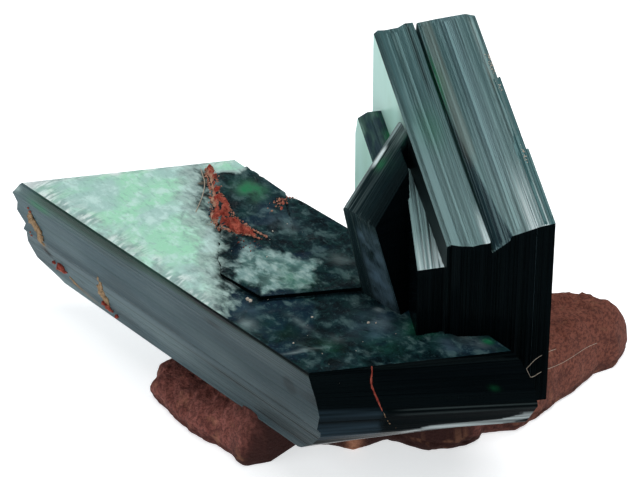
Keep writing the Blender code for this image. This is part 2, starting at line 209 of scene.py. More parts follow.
def segment_distance(x, y, ax, ay, bx, by):
    """Distance to the segment from a to b: to the nearest point of it."""
    run_x, run_y = bx - ax, by - ay
    share = np.clip(((x - ax) * run_x + (y - ay) * run_y) / (run_x ** 2 + run_y ** 2), 0, 1)
    return np.hypot(x - ax - share * run_x, y - ay - share * run_y)


def within(x, y, outline):
    """Signed distance to an outline, positive inside: nearest segment, with the sign from edge crossings."""
    corners = np.array(outline)
    nearest = np.full(np.shape(x), 1e9)
    inside = np.zeros(np.shape(x), bool)
    for (ax, ay), (bx, by) in zip(corners, np.roll(corners, -1, axis=0)):
        nearest = np.minimum(nearest, segment_distance(x, y, ax, ay, bx, by))
        crosses = (ay > y) != (by > y)
        inside ^= crosses & (x < ax + (y - ay) * (bx - ax) / ((by - ay) if by != ay else 1e-9))
    return np.where(inside, nearest, -nearest)


# Meshes

def to_frame(points):
    """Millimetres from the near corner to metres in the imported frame."""
    return (np.asarray(points, float) + NEAR_CORNER) * MM


def grid_faces(rows, columns, closed=False):
    """Quads of a grid laid row by row; closed joins the last column to the first."""
    r = np.arange(rows - 1)[:, None]
    c = np.arange(columns if closed else columns - 1)[None, :]
    after = (c + 1) % columns
    return np.stack([r * columns + c, (r + 1) * columns + c, (r + 1) * columns + after, r * columns + after],
                    axis=-1).reshape(-1, 4)


def fan(edge, hub):
    """Triangles from each point of a closed ring and the next one to a hub."""
    return np.stack([edge, np.roll(edge, -1), np.full(len(edge), hub)], axis=1)


def ring_ends(rows, around):
    """Triangles that close a tube's first and last ring; their hubs are the two points after its rings."""
    edge, count = np.arange(around), rows * around
    return np.concatenate([fan(edge, count)[:, [1, 0, 2]], fan(edge + count - around, count + 1)])


def surface(name, points, faces, finishes, kinds=None, uv=None, values=None, sharp=30, node=None,
            slot="crystal"):
    """Puts points (millimetres, kept within the CAD model's box) and faces (arrays of quads and of triangles)
    into a mesh that rides on the root.

    kinds gives each face its finish, uv each face corner its place on the surface, and values the masks of
    each point or of each face corner."""
    faces = [np.asarray(block) for block in faces if len(block)]
    corners = np.concatenate([block.ravel() for block in faces]).astype(np.int32)
    sizes = np.concatenate([np.full(len(block), block.shape[1]) for block in faces])
    starts = np.concatenate([[0], np.cumsum(sizes)[:-1]]).astype(np.int32)
    mesh = bpy.data.meshes.new(name)
    mesh.vertices.add(len(points))
    mesh.vertices.foreach_set("co", np.clip(to_frame(points), *cad_box).astype(np.float32).ravel())
    mesh.loops.add(len(corners))
    mesh.loops.foreach_set("vertex_index", corners)
    mesh.polygons.add(len(sizes))
    mesh.polygons.foreach_set("loop_start", starts)
    if kinds is not None:
        mesh.polygons.foreach_set("material_index", np.asarray(kinds, np.int32))
    mesh.update(calc_edges=True)
    if uv is not None:
        layer = mesh.uv_layers.new(name="face_mm")
        layer.data.foreach_set("uv", np.asarray(uv, np.float32).ravel())
    for key, numbers in (values or {}).items():
        per_corner = len(numbers) == len(corners)
        layer = mesh.attributes.new(key, "FLOAT", "CORNER" if per_corner else "POINT")
        layer.data.foreach_set("value", np.asarray(numbers, np.float32))
    mesh.shade_smooth()
    if sharp:
        mesh.set_sharp_from_angle(angle=math.radians(sharp))
    for finish in finishes:
        mesh.materials.append(finish)
    made = placed(name, mesh)
    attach(made, "root")
    if node:
        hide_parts(node)
    return made


# Blades: stacks of thin layers inside an outline

TINTS = ("light", "green", "sky", "blue", "tan", "dark")
MASKS = (*TINTS, "pearl", "silver_and_highlight", "stroke")


def flat_frame():
    """Large blade: long edge, width, normal and corner."""
    normal = unit(BLADE_NORMAL)
    long_edge = np.array([math.cos(BLADE_TURN), math.sin(BLADE_TURN), 0])
    long_edge = unit(long_edge - normal * (long_edge @ normal))
    return long_edge, np.cross(normal, long_edge), normal, np.zeros(3)


def upright_frame(turn, corner):
    """A blade that stands: along its plane, up, outward normal and corner."""
    along = np.array([math.cos(turn), math.sin(turn), 0])
    up = np.array([0, 0, 1])
    return along, up, np.cross(along, up), np.array(corner)


def side_lines(outline):
    """Each side's start, end and outward direction."""
    start = np.array(outline, float)
    end = np.roll(start, -1, axis=0)
    run = unit(end - start)
    return start, end, np.stack([run[:, 1], -run[:, 0]], axis=1)


def corners_at(shape, depth, extra=None):
    """Corners of the ring at each depth: where neighbouring side lines cross once each has moved out."""
    start, end, out = side_lines(shape["outline"])
    sides = [np.array(rows) for rows in shape["sides"]]
    first = np.stack([np.interp(depth, s[:, 0], s[:, 1]) for s in sides], axis=1)
    last = np.stack([np.interp(depth, s[:, 0], s[:, 2]) for s in sides], axis=1)
    extra = np.zeros_like(first) if extra is None else extra
    a = start + out * (first + extra)[..., None]
    b = end + out * (last + extra)[..., None]
    c, d = np.roll(a, 1, axis=1), np.roll(b, 1, axis=1)
    run, other = b - a, d - c
    cross = run[..., 0] * other[..., 1] - run[..., 1] * other[..., 0]
    gap = c - a
    share = (gap[..., 0] * other[..., 1] - gap[..., 1] * other[..., 0]) / cross
    return a + run * share[..., None]


def lift(shape, x, y, depth):
    """From a blade's own plane to the specimen: corner + along x + across y - normal depth.

    A blade's far end can be thinner: depths past its limit are pressed together there."""
    along, across, normal, corner = shape["frame"]
    down = depth * (1 + shape.get("flare", 0) * y / shape["thick"])
    if "thinner" in shape:
        start, end, thick = shape["thinner"]
        limit = shape["thick"] * 1.3 + (thick - shape["thick"] * 1.3) * eased(-x, start, end)
        down = np.where(down > limit, limit + 0.03 * (down - limit), down)
    return corner + along * x[..., None] + across * y[..., None] - normal * down[..., None]


def on_side(shape, side, along, depth, out=0):
    """Points on one side of a blade, at a length along it and a depth, raised by out."""
    along, depth = np.broadcast_arrays(np.asarray(along, float), np.asarray(depth, float))
    ring = corners_at(shape, depth.ravel())
    a = ring[:, side].reshape(*depth.shape, 2)
    b = ring[:, (side + 1) % ring.shape[1]].reshape(*depth.shape, 2)
    start, end, outward = side_lines(shape["outline"])
    share = along / np.linalg.norm(end[side] - start[side])
    flat = a + (b - a) * share[..., None] + outward[side] * np.asarray(out)[..., None]
    return lift(shape, flat[..., 0], flat[..., 1], depth)


def layer_rows(thick, count, seed, uneven=0.8):
    """Depth of each layer's first and last row: random thicknesses with a small slope between layers."""
    drawn = np.random.default_rng(seed)
    weight = np.exp(drawn.normal(0, uneven, count))
    edges = np.concatenate([[0], np.cumsum(weight)]) * thick / weight.sum()
    lip = np.minimum(0.02, np.diff(edges) * 0.22)
    rows = np.stack([edges[:-1] + lip, edges[1:] - lip], axis=1)
    rows[0, 0], rows[-1, 1] = 0, thick
    return rows.ravel(), np.repeat(np.arange(count), 2)


def cap_quad(ring, counts, first_new):
    """Grid over a four-sided ring: indices, and the share of each new point along and across."""
    across, up = counts[0], counts[1]
    total = 2 * (across + up)
    index = np.zeros((across + 1, up + 1), int)
    i, j = np.arange(across + 1), np.arange(up + 1)
    index[:, 0] = i
    index[across, :] = across + j
    index[:, up] = 2 * across + up - i
    index[0, :] = (total - j) % total
    index[1:-1, 1:-1] = first_new + np.arange((across - 1) * (up - 1)).reshape(across - 1, up - 1)
    s, t = (i[1:-1] / across)[:, None, None], (j[1:-1] / up)[None, :, None]
    low, high = ring[index[1:-1, 0]][:, None], ring[index[1:-1, up]][:, None]
    left, right = ring[index[0, 1:-1]][None], ring[index[across, 1:-1]][None]
    c00, c10, c11, c01 = ring[[0, across, across + up, 2 * across + up]]
    inner = ((1 - t) * low + t * high + (1 - s) * left + s * right
             - ((1 - s) * (1 - t) * c00 + s * (1 - t) * c10 + s * t * c11 + (1 - s) * t * c01))
    quads = np.stack([index[:-1, :-1], index[1:, :-1], index[1:, 1:], index[:-1, 1:]], axis=-1).reshape(-1, 4)
    return inner.reshape(-1, 2), quads, np.zeros((0, 3), int)


def cap_star(ring, rings, first_new, middle=None):
    """Rings that shrink from a ring of points to its middle, closed by triangles at the middle."""
    total = len(ring)
    if middle is None:
        middle = ring.mean(axis=0) * 0.5 + (ring.min(axis=0) + ring.max(axis=0)) / 4
    inner = middle + (ring - middle) * (1 - np.arange(1, rings) / rings)[:, None, None]
    quads = grid_faces(rings, total, closed=True)[:, ::-1]
    quads = np.where(quads < total, quads, quads - total + first_new)
    last = first_new + (rings - 2) * total + np.arange(total)
    tris = fan(last, first_new + (rings - 1) * total)
    return np.concatenate([inner.reshape(-1, 2), middle[None]]), quads, tris


def blade(name, shape, columns, layers, seed, ledge, tilt, finishes, kinds, paint, relief=None, wave=None,
          grid_top=False, rings=14, uneven=0.8, **more):
    """One blade: rows of layers down its sides and a cap on each broad face.

    Each layer steps in or out by a random ledge and leans by a random tilt, and its ledge drifts along the
    side with smooth noise. kinds gives the finish of the last cap, of the first cap and of each side in turn.
    paint gives the masks of every face corner from (side, x, y, along, depth), where the caps are sides -2
    and -1. relief is the height of the first cap, and wave the sides' own shape."""
    count = len(shape["outline"])
    depth, layer = layer_rows(shape["thick"], layers, seed, uneven)
    drawn = np.random.default_rng(seed + 1)
    ring = corners_at(shape, depth)
    start, end, out = side_lines(shape["outline"])
    length = np.linalg.norm(end - start, axis=1)
    side = np.repeat(np.arange(count), columns)
    share = np.concatenate([np.arange(n) / n for n in columns])
    along = share * length[side]
    a, b = ring[:, side], ring[:, (side + 1) % count]
    flat = a + (b - a) * share[None, :, None]
    fade = np.minimum(1, np.minimum(share, 1 - share) * length[side] / 0.35)
    drift = noise(flat3(along[None, :] / 14 + side * 40, layer[:, None] * 9.7, seed), 1, seed)
    steady = drawn.uniform(-1, 1, layers)[layer][:, None]
    lean = drawn.uniform(-1, 1, layers)[layer][:, None] * np.where(np.arange(len(depth)) % 2, 1, -1)[:, None]
    thin = np.gradient(depth)[:, None]
    push = ledge * (0.25 * drift + 0.75 * steady) + tilt * lean * np.minimum(thin, 0.2)
    if wave:
        push = push + wave(side[None, :], along[None, :], depth[:, None])
    push *= fade
    push[[0, -1]] *= 0.4
    flat = flat + out[side][None] * push[..., None]
    total = len(side)
    x, y = flat[..., 0].ravel(), flat[..., 1].ravel()
    deep = np.repeat(depth, total)
    top_ring, low_ring = flat[0], flat[-1]
    first_new = len(x)
    if grid_top:
        inner, top_quads, top_tris = cap_quad(top_ring, columns, first_new)
    else:
        inner, top_quads, top_tris = cap_star(top_ring, rings, first_new)
    low_new = first_new + len(inner)
    low, low_quads, low_tris = cap_star(low_ring, rings, low_new)
    lowest = (len(depth) - 1) * total
    low_quads = np.where(low_quads < total, low_quads + lowest, low_quads)[:, ::-1]
    low_tris = np.where(low_tris < total, low_tris + lowest, low_tris)[:, ::-1]
    top_deep = -relief(inner[:, 0], inner[:, 1]) if relief else np.zeros(len(inner))
    x, y = np.concatenate([x, inner[:, 0], low[:, 0]]), np.concatenate([y, inner[:, 1], low[:, 1]])
    deep = np.concatenate([deep, top_deep, np.full(len(low), shape["thick"])])
    walls = grid_faces(len(depth), total, closed=True)
    wall_side = side[walls[:, 0] % total]
    low_along, low_depth = along[walls[:, 0] % total], depth[walls[:, 0] // total]
    step = length[wall_side] / np.array(columns)[wall_side]
    next_depth = depth[walls[:, 1] // total]
    quads = np.concatenate([walls, top_quads, low_quads])
    tris = np.concatenate([top_tris, low_tris])
    loops = np.concatenate([quads.ravel(), tris.ravel()])
    caps = [(top_quads, -1), (low_quads, -2), (top_tris, -1), (low_tris, -2)]
    face_side = np.concatenate([wall_side] + [np.full(len(faces), kind) for faces, kind in caps])
    cap_corners = [np.full(faces.size, kind) for faces, kind in caps]
    corner_side = np.concatenate([np.repeat(wall_side, 4)] + cap_corners)
    run = x[loops]
    run[:walls.size] = np.stack([low_along, low_along, low_along + step, low_along + step], axis=1).ravel()
    deep_uv = y[loops]
    deep_uv[:walls.size] = np.stack([low_depth, next_depth, next_depth, low_depth], axis=1).ravel()
    masks = {key: np.zeros(len(loops)) for key in MASKS}
    masks.update(paint(corner_side, x[loops], y[loops], run, deep[loops]))
    kind = np.array(kinds)[face_side + 2]
    return surface(name, lift(shape, x, y, deep), [quads, tris], finishes, kind,
                   np.stack([run, deep_uv], axis=1), masks, node="crystal_cluster", **more)


# Shader nodes

def feed(tree, socket, value):
    """Joins an output to an input, or sets the input's own value."""
    if isinstance(value, bpy.types.NodeSocket):
        tree.links.new(value, socket)
    elif isinstance(value, (tuple, list)) and len(value) == 3 and socket.type == "RGBA":
        socket.default_value = (*value, 1)
    else:
        socket.default_value = value


def put(tree, kind, settings=(), **inputs):
    """Adds a node with its settings and inputs; an underscore in an input's name stands for a space."""
    made = tree.nodes.new("ShaderNode" + kind)
    for key, value in dict(settings).items():
        setattr(made, key, value)
    for key, value in inputs.items():
        feed(tree, made.inputs[key.replace("_", " ")], value)
    return made


def maths(tree, operation, a, b=0):
    made = put(tree, "Math", {"operation": operation})
    feed(tree, made.inputs[0], a)
    feed(tree, made.inputs[1], b)
    return made.outputs[0]


def plus(tree, a, b):
    return maths(tree, "ADD", a, b)


def times(tree, a, b):
    return maths(tree, "MULTIPLY", a, b)


def mixed(tree, share, a, b):
    made = put(tree, "Mix", {"data_type": "RGBA"})
    for socket, value in zip((0, 6, 7), (share, a, b)):
        feed(tree, made.inputs[socket], value)
    return made.outputs[2]


def ranged(tree, value, low, high, to_low=0, to_high=1):
    made = put(tree, "MapRange", {"interpolation_type": "SMOOTHSTEP"}, Value=value)
    for socket, number in zip(made.inputs[1:5], (low, high, to_low, to_high)):
        feed(tree, socket, number)
    return made.outputs[0]


def layered(tree, base, rows):
    """Lays colours over a base in turn; a row is value, where it starts and ends, greatest share, colour."""
    for value, low, high, share, colour in rows:
        base = mixed(tree, ranged(tree, value, low, high, 0, share), base, colour)
    return base


def scaled(tree, vector, scale, shift=(0, 0, 0), turn=(0, 0, 0)):
    return put(tree, "Mapping", Vector=vector, Scale=scale, Location=shift, Rotation=turn).outputs[0]


def speckle(tree, vector, scale, detail=4, rough_share=0.55, bend=0):
    return put(tree, "TexNoise", Vector=vector, Scale=scale, Detail=detail, Roughness=rough_share,
               Distortion=bend).outputs[0]


def mask(tree, name):
    return put(tree, "Attribute", {"attribute_name": name}).outputs["Fac"]


def group(name, outs, kind="Float", **ins):
    """An empty node group: its tree, its input sockets (ins gives their kinds) and its output sockets."""
    tree = bpy.data.node_groups.new(name, "ShaderNodeTree")
    for key, sort in ins.items():
        tree.interface.new_socket(key, in_out="INPUT", socket_type="NodeSocket" + sort)
    for key in outs:
        tree.interface.new_socket(key, in_out="OUTPUT", socket_type="NodeSocket" + kind)
    return tree, tree.nodes.new("NodeGroupInput").outputs, tree.nodes.new("NodeGroupOutput").inputs


def fill(tree, outs, **values):
    for key, value in values.items():
        feed(tree, outs[key], value)
    return tree


def use(tree, made, **inputs):
    """Places a node group in a material."""
    node = tree.nodes.new("ShaderNodeGroup")
    node.node_tree = made
    for key, value in inputs.items():
        feed(tree, node.inputs[key.replace("_", " ")], value)
    return node.outputs


def growth_lines_group():
    """Fine lines along a face: noise drawn out along the first coordinate, at three spacings."""
    tree, ins, out = group("growth_lines", ("Lines", "Fine", "Height"), Vector="Vector")

    def drawn_out(along, across, shift, detail):
        return speckle(tree, scaled(tree, ins["Vector"], (along, across, 1), shift), 1, detail)

    wide, middle = drawn_out(0.006, 1.3, (0, 0, 0), 2), drawn_out(0.007, 4.5, (3, 8, 0), 2)
    fine, fades = drawn_out(0.012, 13, (7, 1, 0), 1), drawn_out(0.16, 0.9, (2, 5, 0), 3)
    lines = plus(tree, times(tree, wide, 0.45), times(tree, middle, 0.55))
    shown = times(tree, ranged(tree, fine, 0.4, 0.68), ranged(tree, fades, 0.3, 0.65, 0.35, 1))
    return fill(tree, out, Lines=ranged(tree, lines, 0.38, 0.62), Fine=shown, Height=plus(tree, fine, middle))


def clouds_group():
    """Mottling at two sizes, soft clouds and sharper veins: the veins are where noise crosses its middle."""
    tree, ins, out = group("clouds", ("Soft", "Broken", "Veins"), Vector="Vector", Scale="Float")
    vector, scale = ins["Vector"], ins["Scale"]
    soft = speckle(tree, vector, scale, 3, 0.5, 0.6)
    broken = speckle(tree, vector, times(tree, scale, 4), 6, 0.68, 1)
    vein = speckle(tree, vector, times(tree, scale, 1.7), 5, 0.6, 1.5)
    away = maths(tree, "ABSOLUTE", maths(tree, "SUBTRACT", vein, 0.5))
    return fill(tree, out, Soft=ranged(tree, soft, 0.35, 0.65), Broken=ranged(tree, broken, 0.38, 0.66),
                Veins=ranged(tree, away, 0.035, 0))


def grains_group():
    """Crumbly mineral: three sizes of grain as a shade, and their sum as a height."""
    tree, ins, out = group("grains", ("Patches", "Grain", "Flecks", "Height"), Vector="Vector", Scale="Float")
    vector, scale = ins["Vector"], ins["Scale"]
    patches = speckle(tree, vector, scale, 5, 0.6)
    grain = speckle(tree, vector, times(tree, scale, 5.5), 4, 0.75)
    cells = put(tree, "TexVoronoi", Vector=vector, Scale=times(tree, scale, 7)).outputs[0]
    return fill(tree, out, Patches=ranged(tree, patches, 0.34, 0.66), Grain=ranged(tree, grain, 0.36, 0.64),
                Flecks=ranged(tree, cells, 0.16, 0.06),
                Height=plus(tree, times(tree, grain, 0.7), times(tree, cells, 0.5)))


# Tints: besides the blades' own colours, green also paints glows, sky a sheen, light the highlights, and blue
# and dark paint shade.
TINT_COLOURS = {"light": (0.38, 0.5, 0.5), "green": (0.015, 0.22, 0.08), "sky": (0.09, 0.16, 0.22),
                "blue": (0.008, 0.012, 0.026), "tan": (0.3, 0.22, 0.14), "dark": (0.002, 0.004, 0.005)}


def tints_group():
    """Lays tints over a base colour by their masks, and darkens last: the blades' own tints, and also painted
    light and shade where the masks carry glows, sheen, highlights and shadows.
    """
    tree, ins, out = group("tints", ["Color"], "Color", Base="Color",
                           **{key.capitalize(): "Float" for key in TINTS})
    colour = ins["Base"]
    for key in TINTS:
        colour = mixed(tree, ins[key.capitalize()], colour, TINT_COLOURS[key])
    return fill(tree, out, Color=colour)


def material(name, roughness, **sockets):
    """A Principled material: its tree, its shader and its coordinates in millimetres."""
    made = bpy.data.materials.new(name)
    made.use_nodes = True
    tree = made.node_tree
    shader = tree.nodes["Principled BSDF"]
    shader.inputs["Roughness"].default_value = roughness
    for key, value in sockets.items():
        feed(tree, shader.inputs[key.replace("_", " ")], value)
    place = scaled(tree, put(tree, "TexCoord").outputs["Object"], (1000, 1000, 1000))
    return made, tree, shader, place


def bumped(tree, shader, height, strength, distance):
    bump = put(tree, "Bump", Height=height, Strength=strength, Distance=distance * MM)
    feed(tree, shader.inputs["Normal"], bump.outputs[0])


BODY_COLOUR = (0.08, 0.55, 0.36)
BODY_DENSITY = 700                        # per metre
SHEEN_TINT = (0.62, 1, 1)              # mirror reflections are a little blue-green


def crystal(name, roughness, specular, clear=0.2, index=1.6):
    """A blade's material before its colour: glassy, partly see-through, taking up light on the way."""
    made, tree, shader, _ = material(name, roughness, Specular_IOR_Level=specular, IOR=index,
                                     Transmission_Weight=clear, Specular_Tint=SHEEN_TINT)
    body = put(tree, "VolumeAbsorption", Color=BODY_COLOUR, Density=BODY_DENSITY)
    tree.links.new(body.outputs[0], tree.nodes["Material Output"].inputs["Volume"])
    return made, tree, shader, put(tree, "UVMap", {"uv_map": "face_mm"}).outputs[0]


def tinted(tree, base, tints):
    masks = {key.capitalize(): mask(tree, key) for key in TINTS}
    return use(tree, tints, Base=base, **masks)["Color"]


def ribbed_finish(name, tints, lines, shades, roughness, lift_by, specular=0.5, contrast=1, **more):
    """A growth face: shades (dark, middle, bright) along its lines, with the blade's masks laid over them."""
    made, tree, shader, face = crystal(name, roughness, specular, **more)
    grown = use(tree, lines, Vector=face)
    dark, middle, bright = shades
    base = mixed(tree, grown["Lines"], dark, middle)
    base = mixed(tree, times(tree, grown["Fine"], 0.5 * contrast), base, bright)
    # Painted highlights: the highlight mask whitens glints on these faces.
    base = mixed(tree, mask(tree, "silver_and_highlight"), tinted(tree, base, tints), (0.85, 0.97, 0.98))
    feed(tree, shader.inputs["Base Color"], base)
    duller = ranged(tree, grown["Fine"], 0, 1, roughness * 0.7, roughness * 1.4)
    feed(tree, shader.inputs["Roughness"], duller)
    bumped(tree, shader, grown["Height"], 0.5, lift_by)
    return made


def cleavage_finish(tints, clouds):
    """The large blade's top: dark mottled blue-green, with a pearly sheet of pale green fluff on its left,
    and painted highlights laid over both.
    """
    made, tree, shader, face = crystal("cleavage_top", 0.2, 0.12, clear=0.08, index=1.3)
    wide = use(tree, clouds, Vector=face, Scale=0.16)
    close = use(tree, clouds, Vector=scaled(tree, face, (1, 1, 1), (11, 4, 0)), Scale=0.3)

    def turned(size, turn, *kind):
        return speckle(tree, scaled(tree, face, size, turn=(0, 0, turn)), *kind)

    cloudy = turned((0.8, 1.2, 1), 0.6, 0.55, 7, 0.6, 0.25)
    wisps = turned((0.6, 1.6, 1), 0.5, 1.3, 5, 0.6, 0.3)
    strokes = turned((1.5, 0.4, 1), 0.35, 1, 4, 0.55, 0.5)
    grit = speckle(tree, face, 3, 3, 0.6)
    deep = mixed(tree, ranged(tree, cloudy, 0.34, 0.64), (0.002, 0.006, 0.009), (0.007, 0.026, 0.032))
    deep = layered(tree, deep, [(wide["Broken"], 0.3, 0.9, 0.5, (0.01, 0.045, 0.044)),
                                (wide["Soft"], 0.6, 1, 0.5, (0.006, 0.022, 0.05))])
    lit = times(tree, ranged(tree, cloudy, 0.46, 0.78), ranged(tree, wisps, 0.3, 0.7, 0.3, 1))
    deep = mixed(tree, times(tree, lit, 0.65), deep, (0.035, 0.105, 0.11))
    vein = times(tree, close["Veins"], ranged(tree, wisps, 0.5, 0.64, 0, 0.22))
    deep = mixed(tree, vein, deep, (0.14, 0.27, 0.28))
    silver_and_highlight = mixed(tree, ranged(tree, wisps, 0.34, 0.66), (0.2, 0.34, 0.33), (0.4, 0.55, 0.53))
    silver_and_highlight = layered(tree, silver_and_highlight, [(cloudy, 0.6, 0.4, 0.7, (0.07, 0.19, 0.17))])
    # A silvery patch and painted highlights are laid over the dark side where the highlight mask is set.
    patch = plus(tree, mask(tree, "silver_and_highlight"), ranged(tree, cloudy, 0.36, 0.64, -0.3, 0.3))
    deep = layered(tree, deep, [(grit, 0.56, 0.76, 0.25, (0.08, 0.17, 0.18)), (patch, 0.05, 1.1, 1, silver_and_highlight)])
    pearl = mixed(tree, ranged(tree, wide["Soft"], 0.1, 0.9), (0.44, 0.7, 0.64), (0.42, 0.84, 0.6))
    fringe = mixed(tree, ranged(tree, strokes, 0.42, 0.58), (0.24, 0.38, 0.37), (0.92, 1, 0.98))
    edge = plus(tree, mask(tree, "pearl"), ranged(tree, cloudy, 0.35, 0.65, -0.9, 0.9))
    edge = plus(tree, edge, ranged(tree, wisps, 0.3, 0.7, -0.3, 0.3))
    greyed = mixed(tree, ranged(tree, wisps, 0.36, 0.6), (0.29, 0.4, 0.38), (0.42, 0.55, 0.53))
    pearl = layered(tree, pearl, [(cloudy, 0.46, 0.66, 0.75, (0.7, 0.96, 0.9)),
                                  (wisps, 0.48, 0.34, 0.45, (0.3, 0.52, 0.46)),
                                  (grit, 0.56, 0.72, 0.25, (0.85, 1, 1)),
                                  (mask(tree, "stroke"), 0, 1, 0.8, fringe),
                                  (edge, 3.6, 0.9, 0.85, greyed)])
    # Painted highlights whiten the pearly side.
    pearl = mixed(tree, mask(tree, "silver_and_highlight"), pearl, (0.95, 1, 1))
    base = mixed(tree, ranged(tree, edge, -1.3, 1.3), deep, pearl)
    feed(tree, shader.inputs["Base Color"], tinted(tree, base, tints))
    height = plus(tree, times(tree, strokes, mask(tree, "stroke")), wisps)
    bumped(tree, shader, plus(tree, height, times(tree, grit, 0.3)), 0.5, 0.15)
    return made


def broad_finish(tints, clouds):
    """The tall blades' pale broad face: smooth milky green, the crystal's own green made pale as painted
    light for the backlight that shines through the thin blade.
    """
    made, tree, shader, face = crystal("broad_face", 0.35, 0.2)
    cloud = use(tree, clouds, Vector=scaled(tree, face, (0.5, 0.12, 1)), Scale=0.5)
    base = mixed(tree, cloud["Soft"], (0.46, 0.76, 0.66), (0.54, 0.86, 0.78))
    feed(tree, shader.inputs["Base Color"], tinted(tree, base, tints))
    return made


def stone_finish(name, grains, colours, scale, lift_by, right=None, dark_share=0.65):
    """Dull mineral: patches of two colours, darker grain, pale flecks; right is its right end's colour."""
    made, tree, shader, place = material(name, 0.9, Specular_IOR_Level=0.2)
    first, second, dark, fleck = colours
    grain = use(tree, grains, Vector=place, Scale=scale)
    base = mixed(tree, grain["Patches"], first, second)
    if right:
        x = put(tree, "SeparateXYZ", Vector=place).outputs[0]
        base = mixed(tree, ranged(tree, x, 14, 24, 0, 0.75), base, right)
    base = mixed(tree, ranged(tree, grain["Grain"], 0, 1, dark_share, 0), base, dark)
    base = mixed(tree, times(tree, grain["Flecks"], 0.35), base, fleck)
    # The dark mask: random darker grains and tone, and on the rock and crust also painted shade, under the
    # large blade, along the rock's foot and in the crust's crevices.
    base = mixed(tree, mask(tree, "dark"), base, dark)
    base = mixed(tree, mask(tree, "tan"), base, fleck)
    feed(tree, shader.inputs["Base Color"], base)
    bumped(tree, shader, grain["Height"], 0.7, lift_by)
    return made


# The pieces

def even(*rows):
    """A side's profile from (depth, out) rows, with the same reach at both its ends."""
    return [(depth, out, out) for depth, out in rows]


LARGE = {"frame": flat_frame(), "outline": BLADE_OUTLINE, "sides": BLADE_SIDES, "thick": BLADE_THICK}
TALL = {"frame": upright_frame(TALL_TURN, (13.16, 4.54, 11.35)), "sides": TALL_SIDES, "thick": TALL_THICK,
        "outline": [(0, 0), (-19.2, 13.9), (-19.2, -23.2), (0, -17.6)]}
SIDE = {"frame": upright_frame(math.radians(-82.4), (10.42, 4.75, 8.6)), "thick": 4.2,
        "outline": [(0, 0), (-8.6, 6.4), (-8.6, -10), (0, -10)],
        "sides": [even((0, 0), (2.4, 0.25), (4.2, 0.4)), even((0, 0)), even((0, 0)),
                  even((0, 0), (4.2, 0.15))]}
LEAN = {"frame": upright_frame(math.radians(218.5), (3.21, 11.89, 11.5)), "thick": 5.1, "flare": -0.11,
        "thinner": (3.9, 5.4, 2.45),
        "outline": [(0, 0), (-7.6, 7.55), (-9, 7.6), (-11, 3.5), (-10.5, -11.8), (-2.85, -11.8)],
        "sides": [[(0, -0.2, 0.1), (0.7, 0.5, 0.6), (3, 0.45, 0.5), (5.1, 0, 0)],
                  even((0, -0.3), (0.9, 0)), even((0, 0)), even((0, 0)), even((0, 0)),
                  [(0, -0.1, -0.1), (0.5, 0.15, 0.1), (4.2, 0.1, 0.1), (5.1, 0, 0)]]}
REAR = {"frame": upright_frame(TALL_TURN, (4.8, 20, 17.2)), "thick": 3.6,
        "outline": [(0, 0), (-0.6, -2), (-0.6, -18), (7, -18), (7, -5.1)],
        "sides": [even((0, 0), (3.6, -0.4)), even((0, 0), (3.6, -1.4)), even((0, 0)),
                  even((0, 0), (3.6, 1)), [(0, 0, 0), (0.9, 0.9, 0.7), (2.2, 1.1, 0.8), (3.6, 0.4, 0.2)]]}


# Soft patches of the large blade's top: strength, place along and across it, width along and across
TOP_MOTTLED = {
    "green": [(0.75, -30.2, 16, 2, 1.3), (0.12, -8, 2.6, 3.5, 1.2), (0.3, 2.5, 12, 2, 1.5),
              (0.3, -13.5, 8.5, 2.4, 1.3), (0.3, -1.8, 4, 1.4, 0.8), (0.2, 1.5, 8, 2, 1.2)],
    "sky": [(0.5, -1.4, 9.4, 2.6, 2), (0.35, -24, 14.5, 2.2, 1.4), (0.4, 6.3, 12.2, 1.8, 0.8),
            (0.35, -12.6, 2.2, 1.8, 1)],
    "light": [(0.25, 7.8, 14.4, 1.8, 0.8), (0.28, -1.6, 10, 1.2, 0.8), (0.4, -11.2, 0.9, 1.5, 0.7),
              (0.3, -2.6, 5.4, 0.7, 0.5), (0.28, -7.2, 4.6, 1.6, 0.35), (0.2, -22, 14, 2, 0.9),
              (0.25, -12.5, 14.2, 1.6, 0.9), (0.22, -30.2, 16, 2, 1.3)]}
# Painted glints on the top: a green one and a pale one.
TOP_GLINTS = {"green": [(0.9, 8.6, 15.3, 0.5, 0.35)], "light": [(0.7, -3.2, 11.4, 0.45, 0.3)]}
# Painted highlights: white spots on the pearly side and on the dark side.
TOP_PAINTED_HIGHLIGHTS = [(0.9, -45.2, 8.3, 1, 0.5), (0.9, -8.2, 12.9, 0.7, 0.45)]


